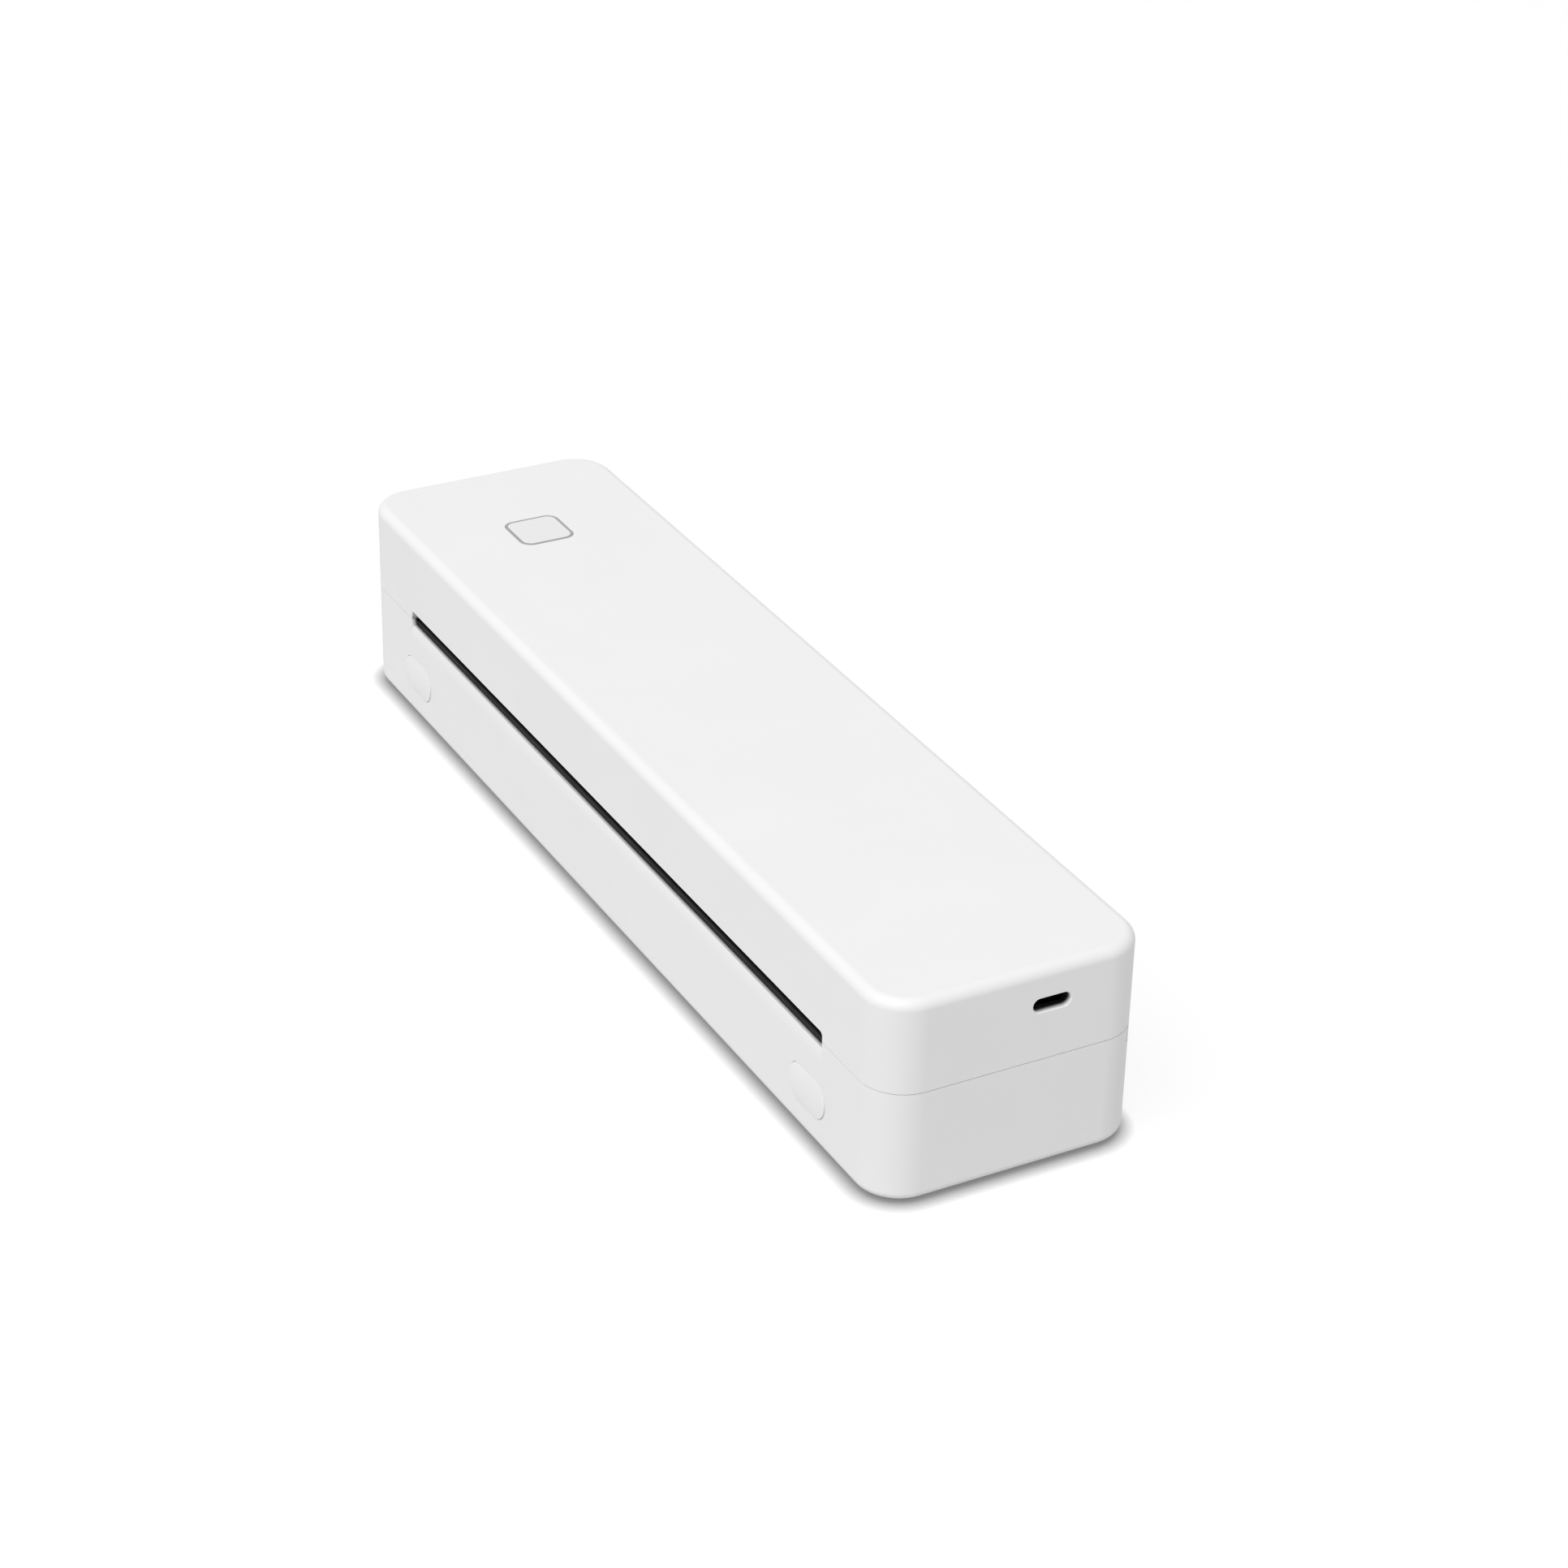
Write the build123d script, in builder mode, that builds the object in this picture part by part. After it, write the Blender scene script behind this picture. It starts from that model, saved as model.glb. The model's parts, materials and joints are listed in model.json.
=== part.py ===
from build123d import *
from math import acos, atan2, cos, degrees, pi, radians, sin, sqrt, tan
import os

# A portable thermal printer for A4 sheets, in millimetres.
# X runs along the case and grows towards the end with the charging port.
# Y grows from the front face, where the paper comes out, to the back.
# Z is up, and the rubber feet stand on Z = 0 under the middle of the case.
# The lower case carries the paper bed and the platen roller. The cover is
# hinged along the back and carries the print head, drive, battery and boards.

os.makedirs("parts", exist_ok=True)

SIDES = (-1, 1)

# ---- case ----
LENGTH = 266.0
WIDTH = 63.0
HEIGHT = 49.0
CORNER = 10.0
WALL = 2.0
FLOOR = 2.2
TOP_EDGE = 2.4
BOTTOM_EDGE = 2.0
STAND = 0.7
SEAM = 27.0
SEAM_GAP = 0.12

END_X = LENGTH / 2
BACK_Y = WIDTH / 2
FRONT_Y = -BACK_Y
INNER_Y = BACK_Y - WALL
LOWER_TOP = SEAM - SEAM_GAP / 2
COVER_BOTTOM = SEAM + SEAM_GAP / 2
FLOOR_TOP = STAND + FLOOR
CEILING = HEIGHT - WALL

# rim lips at the two ends of the lower case
RIM_START = 119.0
RIM_THICK = 1.3
RIM_GAP = 0.3
RIM_ROOT = LOWER_TOP - 1.5
RIM_TOP = 28.0

# ribs on the floor, and rubber feet
RIB_XS = (-60, -20, 20, 60)
RIB_THICK = 1.4
RIB_TOP = 9.0
FEET = [(x, y) for x in (-112, 112) for y in (-20, 20)]
FOOT_RADIUS = 6.0
FOOT_SUNK = 0.7

# ---- screws, all driven into pilot holes ----
SCREW_HEAD = 1.9
SCREW_SHANK = 0.8
SCREW_CONE = 1.1
CROSS_WIDE = 1.8
CROSS_SLIT = 0.4
CROSS_DEEP = 0.5
POST_RADIUS = 3.0
SLIM_POST = 2.4
SMALL_SHANK = 0.7
SMALL_HEAD = 1.5
SMALL_HEAD_HIGH = 1.2
SMALL_HOLE = 1.1
BOARD_SCREW_HEAD = 1.7

# ---- paper path, shifted a little to the right as the slot is ----
PATH_X = 1.35
SLOT_WIDTH = 212.7
SLOT_TOP = 29.3
SLOT_CORNER = 1.0
LIP_LOW = 21.5
LIP_TOP = 25.0
LIP_DEPTH = 0.3
LIP_CREST = 0.15
LIP_CORNER = 3.0

# ---- hinge along the back ----
HINGE_Y = BACK_Y - 2.9
HINGE_Z = SEAM
COVE_RADIUS = 4.0
ROLL_RADIUS = 3.6
KNUCKLE_RADIUS = 2.9
COVE_END = 130.3
HINGE_PIN = 1.0
RUNNING = 0.05
KNUCKLE_INNER = (110.0, 114.0)
KNUCKLE_OUTER = (120.0, 124.0)
KNUCKLE_GAP = 0.3
KNUCKLE_FOOT = 20.5

# ---- paper bed ----
BED_TOP = 26.4
BED_THICK = 1.8
BED_HALF = 110.2
BED_FRONT = -29.2
BED_BACK = 23.9
BED_NOSE = -30.2
BED_NOSE_PLAY = 0.15
BED_LOW = BED_TOP - BED_THICK
BED_SCREWS = [(x, y) for x in (-84, 0, 84) for y in (-25.5, 20)]
BED_SCREW_LONG = 7.0
CHEEK = 3.0
CHEEK_HALF = 8.0
BED_OPENING = 9.8
BED_BEVEL = 32
GUIDE_THICK = 1.4
GUIDE_TOP = 28.0
PAPER_RIBS = range(-4, 5)
PAPER_RIB_PITCH = 22
PAPER_RIB_WIDE = 1.0

# ---- platen ----
PLATEN_Y = -13.0
PLATEN_Z = 22.0
PLATEN_RADIUS = 6.0
PLATEN_HALF = 106.0
SHAFT_RADIUS = 2.0
BUSH_RADIUS = 4.0
BUSH_FLANGE = 5.0
BUSH_FLANGE_THICK = 1.0

# ---- release buttons ----
RELEASE_X = 102.0
RELEASE_Z = 11.8
RELEASE_WIDE = 15.5
RELEASE_HIGH = 9.0
RELEASE_PROUD = 0.35
RELEASE_GAP = 0.1
DOME_RADIUS = 30.0
DOME_Z = RELEASE_Z - 1.0
FLANGE_HALF_WIDE = 9.4
FLANGE_HALF_HIGH = 6.3
ARM_LOW = 8.0
ARM_TOP = 14.0
ARM_Y = (-28.2, -25.4)
HOOK_LEFT = 112.5
HOOK_RIGHT = 117.5
HOOK_TOP = 31.8
HOOK_NOSE = -28.4
HOOK_FACE = -27.0
HOOK_GAP = 0.25
CATCH_LOW = 28.4
CATCH_TOP = 30.0
CATCH_BACK = -27.3

# ---- springs behind the release buttons ----
RELEASE_BACK = -27.5
SEAT_Y = -20.3
SEAT_THICK = 1.5
SEAT_HALF = 4.0
SEAT_TOP = 14.7
WIRE_RADIUS = 0.25
RELEASE_COIL = 2.2
RELEASE_TURNS = 5
HEAD_COIL = 2.1
HEAD_TURNS = 4

# ---- inner frame of the cover ----
FRAME_LOW = 29.3
FRAME_THICK = 1.7
FRAME_TOP = FRAME_LOW + FRAME_THICK
FRAME_GAP = 0.3
FRAME_BACK = 24.0
FRAME_SCREWS = [(-124, -24.5), (124, -24.5), (-124, 20), (124, 20),
                (-84, 7.3), (14, 20), (-60, -27), (60, -27)]
FRAME_SCREW_LONG = 8.0
PILOT_DEEP = 9.0
GEAR_WELL_X = (-122.3, -111.9)
GEAR_WELL_Y = (-24.0, 11.5)
SENSOR_XY = (PATH_X + 3.5 * PAPER_RIB_PITCH, 6.0)

# ---- tear strip ----
TEAR_TEETH = 211
TEAR_PITCH = 1.0
TEAR_HALF = TEAR_TEETH * TEAR_PITCH / 2
TEAR_LOW = 28.2
TEAR_DEEP = 0.6
TEAR_TOP = 31.1
TEAR_THICK = 0.5
TEAR_Y = FRONT_Y + 0.6

# ---- print head ----
HEAD_LOW = 28.1
HEAD_FRONT = -24.0
HEAD_BACK = -3.0
HEAD_HALF = 107.0
CERAMIC = 0.8
SINK_LOW = HEAD_LOW + CERAMIC
SINK_TOP = SINK_LOW + 2.5
PIVOT_Y = -4.5
PIVOT_Z = 32.9
PIN_RADIUS = 1.0
EAR_INNER = HEAD_HALF + 0.9
EAR_THICK = 2.1
PILLAR_THICK = 3.2
PILLAR_DEEP = 5.0
BAR_LOW = 36.0
BAR_THICK = 1.2
BAR_TOP = BAR_LOW + BAR_THICK
BAR_FRONT = -21.5
BAR_BACK = -9.4
BAR_SCREW_Y = BAR_FRONT + PILLAR_DEEP / 2
SPRING_Y = -15.0
HEAD_SPRINGS = (-85, -28, 28, 85)
HEAD_PLUG_X = 60.0
HEAD_PLUG_TOP = SINK_TOP + 2.2

# ---- gear train ----
MODULE = 0.5
PRESSURE = radians(25)
BACKLASH = 0.05
PLATEN_TEETH = 30
IDLER_TEETH = 24
SMALL_TEETH = 14
LARGE_TEETH = 34
PINION_TEETH = 12
GEAR_LEFT = -116.5
GEAR_WIDTH = 3.5
LARGE_LEFT = -120.3
LARGE_WIDTH = 2.5
PLATE_LEFT = -111.5
PLATE_THICK = 1.2
IDLER_YZ = (-8.0, 34.54)
COMPOUND_YZ = (0.99, 37.6)
MOTOR_YZ = (12.416, 38.9)
MOTOR_RADIUS = 7.5
MOTOR_LENGTH = 20.0
AXLE_RADIUS = 1.0
MOTOR_LEFT = PLATE_LEFT + PLATE_THICK
MOTOR_RIGHT = MOTOR_LEFT + MOTOR_LENGTH
MOTOR_SOCKET_LONG = 1.6
MOTOR_SHAFT = 0.75
MOTOR_SPIGOT = 2.9
SHAFT_RIGHT = MOTOR_LEFT + 6
AXLE_CAP = 1.8
AXLE_CAP_THICK = 0.5
SIDE_PLAY = 0.1
PLATE_Y = (-15.5, 24.0)
PLATE_TOP = 46.4
PLATE_FEET = ((-15.5, -8.0), (20.4, 24.0))
FOOT_PLATE_TOP = FRAME_TOP + 0.8
DRIVE_SCREWS = [(-108.4, -11.5), (-108.4, 22.2)]

# ---- boards and battery ----
BOARD_LOW = 37.0
BOARD_THICK = 1.6
BOARD_TOP = BOARD_LOW + BOARD_THICK
BOARD_X = (20.0, 129.8)
BOARD_Y = (-1.0, 21.5)
BOARD_SCREWS = [(x, y) for x in (24, 114) for y in (2, 18.5)]
USB_Y = 7.6
USB_Z = 40.2
USB_WIDE = 8.9
USB_HIGH = 3.2
BUTTON_X = -96.0
BUTTON_Y = -0.8
BUTTON_HOLE = 14.2
BUTTON_CAP = 13.2
BUTTON_CORNER = 2.5
BUTTON_PROUD = 0.1
BUTTON_SKIRT_TOP = CEILING - 0.2
BUTTON_SKIRT_LOW = CEILING - 0.9
BUTTON_BOARD_LOW = 41.0
BUTTON_BOARD_THICK = 1.2
BUTTON_BOARD_TOP = BUTTON_BOARD_LOW + BUTTON_BOARD_THICK
BUTTON_BOARD_SCREWS = [(-106.2, BUTTON_Y), (-85.8, -5.5)]
SWITCH_TOP = BUTTON_BOARD_TOP + 2.2
PLUNGER_TOP = SWITCH_TOP + 0.8
PLUNGER_LOW = SWITCH_TOP - 1.0
PLUNGER_RADIUS = 1.6
USB_LEFT = 123.6
USB_LONG = 7.3
USB_SHEET = 0.3
SOCKET_HIGH = 3.8
SOCKET_Z = BOARD_TOP + SOCKET_HIGH / 2
# chips on the main board: place across, length, width and height
BOARD_CHIPS = ((78, 10, 10, 10, 1.0), (91, 15, 5, 6, 1.2), (91, 5, 5, 4, 1.2), (116, 10, 4, 5, 1.0))
BATTERY_X = (-79.0, 9.0)
BATTERY_Y = (-1.0, 23.0)
BATTERY_Z = (31.3, 42.0)


# ---------------------------------------------------------------------------
# Helpers
# ---------------------------------------------------------------------------

def save(piece, name):
    """Labels a finished piece and writes its file."""
    piece.label = name
    export_step(piece, f"parts/{name}.step")


def block(x_range, y_range, z_range, mode=Mode.ADD):
    """Adds a box between the given limits to the part being built."""
    centre = [(low + high) / 2 for low, high in (x_range, y_range, z_range)]
    with Locations(tuple(centre)):
        Box(x_range[1] - x_range[0], y_range[1] - y_range[0],
            z_range[1] - z_range[0], mode=mode)


def rod(x_range, y, z, radius, mode=Mode.ADD):
    """Adds a round bar along X to the part being built."""
    with BuildSketch(Plane.YZ.offset(x_range[0])) as section:
        with Locations((y, z)):
            Circle(radius)
    extrude(section.sketch, amount=x_range[1] - x_range[0], mode=mode)


def post(x, y, z_range, radius, mode=Mode.ADD):
    """Adds an upright round bar to the part being built."""
    with BuildSketch(Plane.XY.offset(z_range[0])) as section:
        with Locations((x, y)):
            Circle(radius)
    extrude(section.sketch, amount=z_range[1] - z_range[0], mode=mode)


def case_outline(inset, mode=Mode.ADD):
    """Draws the case seen from above, drawn in by an even inset."""
    RectangleRounded(LENGTH - 2 * inset, WIDTH - 2 * inset, CORNER - inset, mode=mode)


def countersunk(places, face_z, length, up):
    """Makes countersunk screws with their heads flush at face_z, going up or down."""
    turn = 1 if up else -1
    with BuildPart() as screws:
        for x, y in places:
            with BuildSketch(Plane.XZ) as outline:
                with BuildLine():
                    Polyline((0, 0), (SCREW_HEAD, 0), (SCREW_SHANK, turn * SCREW_CONE),
                             (SCREW_SHANK, turn * length), (0, turn * length), close=True)
                make_face()
            revolve(Pos(x, y, face_z) * outline.sketch, axis=Axis((x, y, 0), (0, 0, 1)))
        for x, y in places:
            # the cross recess in the head
            for wide, deep in ((CROSS_WIDE, CROSS_SLIT), (CROSS_SLIT, CROSS_WIDE)):
                low, high = sorted((face_z, face_z + turn * CROSS_DEEP))
                block((x - wide / 2, x + wide / 2), (y - deep / 2, y + deep / 2),
                      (low, high), Mode.SUBTRACT)
    return screws.part


def countersink(places, face_z, depth, up):
    """Cuts the seats and clearance holes of countersunk screws."""
    turn = 1 if up else -1
    for x, y in places:
        with BuildSketch(Plane.XZ) as outline:
            with BuildLine():
                Polyline((0, 0), (SCREW_HEAD + 0.05, 0), (SCREW_SHANK + 0.2, turn * 1.0),
                         (SCREW_SHANK + 0.2, turn * depth), (0, turn * depth), close=True)
            make_face()
        revolve(Pos(x, y, face_z) * outline.sketch,
                axis=Axis((x, y, 0), (0, 0, 1)), mode=Mode.SUBTRACT)


def gear_points(teeth, turned):
    """Works out an involute gear's outline, its first tooth centred at a turn in degrees."""
    pitch = MODULE * teeth / 2
    base = pitch * cos(PRESSURE)
    tip = pitch + MODULE
    root = pitch - 1.25 * MODULE
    half = pi / 2 / teeth - BACKLASH / 2 / pitch + tan(PRESSURE) - PRESSURE
    start = max(base, root)
    flank = [(root, half)] if root < base else []
    for step in range(6):
        radius = start + (tip - start) * step / 5
        rolled = acos(min(1.0, base / radius))
        flank.append((radius, half - tan(rolled) + rolled))
    points = []
    for tooth in range(teeth):
        middle = radians(turned) + 2 * pi * tooth / teeth
        ahead = [(radius, middle - angle) for radius, angle in flank]
        behind = [(radius, middle + angle) for radius, angle in reversed(flank)]
        points += [(radius * cos(a), radius * sin(a)) for radius, a in ahead + behind]
    return points


def gear_body(teeth, turned, centre, x_range):
    """Adds a spur gear on an axis along X to the part being built."""
    points = [(centre[0] + y, centre[1] + z) for y, z in gear_points(teeth, turned)]
    with BuildSketch(Plane.YZ.offset(x_range[0])) as outline:
        with BuildLine():
            Polyline(*points, close=True)
        make_face()
    extrude(outline.sketch, amount=x_range[1] - x_range[0])


def meshed_turn(first_teeth, first_turn, first_centre, teeth, centre):
    """Gives the turn that puts a gear's gap where its mate has a tooth, in degrees."""
    heading = degrees(atan2(centre[1] - first_centre[1], centre[0] - first_centre[0]))
    share = ((heading - first_turn) * first_teeth / 360) % 1
    return heading + 180 - (0.5 - share) * 360 / teeth


def helix_path(start, along, radius, length, turns):
    """Draws a coil as quarter turns, each made of two arcs that meet smoothly."""
    frame_plane = Plane(start, x_dir=along.cross(Vector(1, 0.3, 0.2)), z_dir=along)
    steps = 4 * turns

    def station(step):
        angle = pi / 2 * step
        rise = length * step / steps
        place = Vector(radius * cos(angle), radius * sin(angle), rise)
        heading = Vector(-radius * sin(angle), radius * cos(angle), length / turns / 2 / pi)
        return frame_plane.from_local_coords(place), frame_plane.from_local_coords(
            place + heading) - frame_plane.from_local_coords(place)

    for step in range(steps):
        first, first_way = station(step)
        last, last_way = station(step + 1)
        first_way, last_way = first_way.normalized(), last_way.normalized()
        span = last - first
        both = first_way + last_way
        facing = 1 - first_way.dot(last_way)
        reach = (sqrt(span.dot(both) ** 2 + 2 * facing * span.dot(span))
                 - span.dot(both)) / (2 * facing)
        joint = (first + last + (first_way - last_way) * reach) / 2
        chord = (joint - first).normalized()
        joint_way = chord * (2 * first_way.dot(chord)) - first_way
        TangentArc(first, joint, tangent=first_way)
        TangentArc(joint, last, tangent=joint_way)


def coil_spring(start, along, radius, wire, length, turns):
    """Adds an open coil spring between two flat seats to the part being built."""
    first = start + along * (wire + 0.02)
    with BuildLine(mode=Mode.PRIVATE) as path:
        helix_path(first, along, radius, length - 2 * wire - 0.04, turns)
    with BuildSketch(Plane(path.line @ 0, z_dir=path.line % 0)) as section:
        Circle(wire)
    sweep(section.sketch, path=path.line)


def cable(points, radii, radius):
    """Makes a round cable along straight runs joined by arcs."""
    with BuildPart() as cord:
        with BuildLine() as path:
            FilletPolyline(*points, radius=radii)
        with BuildSketch(Plane(path.line @ 0, z_dir=path.line % 0)):
            Circle(radius)
        sweep(path=path.line)
    return cord.part


# ---------------------------------------------------------------------------
# Lower case: tub with the paper lip, button windows, hinge knuckles and posts
# ---------------------------------------------------------------------------

with BuildPart() as lip_cut:
    # the strip under the slot, where the front wall leans back to a low crest
    with BuildSketch(Plane.YZ.offset(PATH_X - SLOT_WIDTH / 2)):
        with BuildLine():
            lean = TangentArc((FRONT_Y, LIP_LOW), (FRONT_Y + LIP_DEPTH, LIP_TOP - LIP_CREST),
                              tangent=(0, 1))
            crest = TangentArc(lean @ 1, (FRONT_Y + LIP_DEPTH + LIP_CREST, LIP_TOP), tangent=lean % 1)
            Polyline(crest @ 1, (-INNER_Y + 1, LIP_TOP), (-INNER_Y + 1, SEAM), (FRONT_Y - 2, SEAM),
                     (FRONT_Y - 2, LIP_LOW), lean @ 0)
        make_face()
    extrude(amount=SLOT_WIDTH)
    with BuildSketch(Plane.XZ.offset(-FRONT_Y + 3)):
        with Locations((PATH_X, LIP_LOW + 10)):
            RectangleRounded(SLOT_WIDTH, 20, LIP_CORNER)
    extrude(amount=-6, mode=Mode.INTERSECT)

with BuildPart() as lower_case:
    with BuildSketch(Plane.XY.offset(STAND)):
        case_outline(0)
    extrude(amount=LOWER_TOP - STAND)
    fillet(lower_case.faces().sort_by(Axis.Z)[0].edges(), BOTTOM_EDGE)
    with BuildSketch(Plane.XY.offset(FLOOR_TOP)):
        case_outline(WALL)
    extrude(amount=HEIGHT, mode=Mode.SUBTRACT)
    add(lip_cut.part, mode=Mode.SUBTRACT)
    # rim lips at both ends, which shut the seam against light
    for low, high, inset in ((RIM_ROOT, LOWER_TOP, WALL), (LOWER_TOP, RIM_TOP, WALL + RIM_GAP)):
        with BuildSketch(Plane.XY.offset(low)):
            case_outline(inset)
            case_outline(WALL + RIM_THICK, Mode.SUBTRACT)
            Rectangle(2 * RIM_START, WIDTH, mode=Mode.SUBTRACT)
        extrude(amount=high - low)
    # button windows in the front wall
    with BuildSketch(Plane.XZ.offset(-FRONT_Y)):
        with Locations(*[(side * RELEASE_X, RELEASE_Z) for side in SIDES]):
            SlotOverall(RELEASE_WIDE + 2 * RELEASE_GAP, RELEASE_HIGH + 2 * RELEASE_GAP)
    extrude(amount=-WALL - 0.5, mode=Mode.SUBTRACT)
    # round cove along the back, in which the cover's barrel turns
    rod((-COVE_END, COVE_END), HINGE_Y, HINGE_Z, COVE_RADIUS, Mode.SUBTRACT)
    # hinge knuckles
    for side in SIDES:
        for low, high in (KNUCKLE_INNER, KNUCKLE_OUTER):
            left = low if side > 0 else -high
            with BuildSketch(Plane.YZ.offset(left)):
                with Locations((HINGE_Y, HINGE_Z)):
                    Circle(KNUCKLE_RADIUS)
                with Locations((HINGE_Y, (HINGE_Z + KNUCKLE_FOOT) / 2)):
                    Rectangle(2 * KNUCKLE_RADIUS, HINGE_Z - KNUCKLE_FOOT)
                with Locations((HINGE_Y, HINGE_Z)):
                    Circle(HINGE_PIN, mode=Mode.SUBTRACT)
            extrude(amount=high - low)
    # posts under the paper bed, with pilot holes
    for x, y in BED_SCREWS:
        post(x, y, (FLOOR_TOP, BED_LOW), POST_RADIUS)
        post(x, y, (BED_LOW - PILOT_DEEP, BED_LOW), SCREW_SHANK, Mode.SUBTRACT)
    # stiffening ribs across the floor
    for x in RIB_XS:
        block((x - RIB_THICK / 2, x + RIB_THICK / 2), (-INNER_Y - 0.5, INNER_Y + 0.5),
              (FLOOR_TOP, RIB_TOP))
    # seats behind the release springs
    for side in SIDES:
        block((side * RELEASE_X - SEAT_HALF, side * RELEASE_X + SEAT_HALF),
              (SEAT_Y, SEAT_Y + SEAT_THICK), (FLOOR_TOP, SEAT_TOP))
    # recesses for the feet
    for x, y in FEET:
        post(x, y, (STAND, STAND + FOOT_SUNK), FOOT_RADIUS + 0.05, Mode.SUBTRACT)
save(lower_case.part, "lower_case")

with BuildPart() as rubber_feet:
    for x, y in FEET:
        post(x, y, (0, STAND + FOOT_SUNK), FOOT_RADIUS)
    fillet(rubber_feet.faces().group_by(Axis.Z)[0].edges(), 0.4)
save(rubber_feet.part, "rubber_feet")

with BuildPart() as hinge_pins:
    for side in SIDES:
        low = KNUCKLE_INNER[0] if side > 0 else -KNUCKLE_OUTER[1]
        rod((low, low + KNUCKLE_OUTER[1] - KNUCKLE_INNER[0]), HINGE_Y, HINGE_Z, HINGE_PIN)
save(hinge_pins.part, "hinge_pins")

# ---------------------------------------------------------------------------
# Paper bed: black moulding with the platen opening and cheeks for the bushes
# ---------------------------------------------------------------------------

with BuildPart() as paper_bed:
    block((PATH_X - BED_HALF, PATH_X + BED_HALF), (BED_FRONT, BED_BACK), (BED_LOW, BED_TOP))
    # nose over the lowered front wall, which the sheet leaves last
    nose_half = SLOT_WIDTH / 2 - BED_NOSE_PLAY
    block((PATH_X - nose_half, PATH_X + nose_half), (BED_NOSE, BED_FRONT), (LIP_TOP, BED_TOP))
    fillet(paper_bed.edges().filter_by(Axis.X).group_by(Axis.Y)[0].sort_by(Axis.Z)[-1], 0.4)
    # hollow guide that leads the sheet up from the back mouth
    with BuildSketch(Plane.YZ.offset(PATH_X - BED_HALF + CHEEK)) as guide:
        with Locations((HINGE_Y, HINGE_Z)):
            Circle(COVE_RADIUS + GUIDE_THICK)
            Circle(COVE_RADIUS + 0.05, mode=Mode.SUBTRACT)
        with Locations((HINGE_Y, BED_TOP + 5)):
            Rectangle(20, 10, mode=Mode.SUBTRACT)
        with Locations((INNER_Y + 5 - 0.05, HINGE_Z)):
            Rectangle(10, 20, mode=Mode.SUBTRACT)
    extrude(amount=2 * (BED_HALF - CHEEK))
    for side in SIDES:
        outer = PATH_X + side * BED_HALF
        inner = outer - side * CHEEK
        block(sorted((inner, outer)), (PLATEN_Y - CHEEK_HALF, PLATEN_Y + CHEEK_HALF),
              (PLATEN_Z - CHEEK_HALF + 1, BED_TOP))
    with BuildSketch(Plane.XY.offset(BED_TOP)):
        with Locations((PATH_X, PLATEN_Y)):
            Rectangle(2 * (BED_HALF - CHEEK), BED_OPENING)
    extrude(amount=-BED_THICK, taper=-BED_BEVEL, mode=Mode.SUBTRACT)
    # open seats for the bushes
    with BuildSketch(Plane.YZ.offset(PATH_X - BED_HALF)):
        with Locations((PLATEN_Y, PLATEN_Z)):
            Circle(BUSH_RADIUS + 0.02)
        with Locations((PLATEN_Y, PLATEN_Z + 5)):
            Rectangle(2 * BUSH_RADIUS + 0.04, 10)
    extrude(amount=2 * BED_HALF, mode=Mode.SUBTRACT)
    # side guides for the sheet
    for side in SIDES:
        inner = PATH_X + side * (BED_HALF - 2.6)
        block(sorted((inner, inner + side * GUIDE_THICK)), (-4, 18), (BED_TOP, GUIDE_TOP))
    # low ribs under the paper behind the roller
    for step in PAPER_RIBS:
        x = PATH_X + PAPER_RIB_PITCH * step
        block((x - PAPER_RIB_WIDE / 2, x + PAPER_RIB_WIDE / 2), (-3, BED_BACK - 2.5),
              (BED_TOP, BED_TOP + 0.35))
    countersink(BED_SCREWS, BED_TOP, BED_THICK, up=False)
save(paper_bed.part, "paper_bed")

save(countersunk(BED_SCREWS, BED_TOP, BED_SCREW_LONG, up=False), "bed_screws")

for side, name in ((-1, "platen_bush_left"), (1, "platen_bush_right")):
    with BuildPart() as bush:
        inner = PATH_X + side * (BED_HALF - CHEEK)
        outer = PATH_X + side * BED_HALF
        rod(sorted((inner, outer)), PLATEN_Y, PLATEN_Z, BUSH_RADIUS)
        flange = outer + side * BUSH_FLANGE_THICK
        rod(sorted((outer, flange)), PLATEN_Y, PLATEN_Z, BUSH_FLANGE)
        rod(sorted((inner, flange)), PLATEN_Y, PLATEN_Z, SHAFT_RADIUS + RUNNING, Mode.SUBTRACT)
    save(bush.part, name)

# ---------------------------------------------------------------------------
# Platen: steel shaft, rubber sleeve and drive gear
# ---------------------------------------------------------------------------

with BuildPart() as platen_shaft:
    rod((GEAR_LEFT - 0.6, PATH_X + BED_HALF + 1.4), PLATEN_Y, PLATEN_Z, SHAFT_RADIUS)
    chamfer(platen_shaft.edges().filter_by(GeomType.CIRCLE), 0.3)
save(platen_shaft.part, "platen_shaft")

with BuildPart() as platen_rubber:
    rod((PATH_X - PLATEN_HALF, PATH_X + PLATEN_HALF), PLATEN_Y, PLATEN_Z, PLATEN_RADIUS)
    rod((PATH_X - PLATEN_HALF, PATH_X + PLATEN_HALF), PLATEN_Y, PLATEN_Z, SHAFT_RADIUS, Mode.SUBTRACT)
save(platen_rubber.part, "platen_rubber")

platen_turn = 0.0
platen_yz = (PLATEN_Y, PLATEN_Z)
idler_turn = meshed_turn(PLATEN_TEETH, platen_turn, platen_yz, IDLER_TEETH, IDLER_YZ)
compound_turn = meshed_turn(IDLER_TEETH, idler_turn, IDLER_YZ, SMALL_TEETH, COMPOUND_YZ)
pinion_turn = meshed_turn(LARGE_TEETH, compound_turn, COMPOUND_YZ, PINION_TEETH, MOTOR_YZ)

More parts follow.
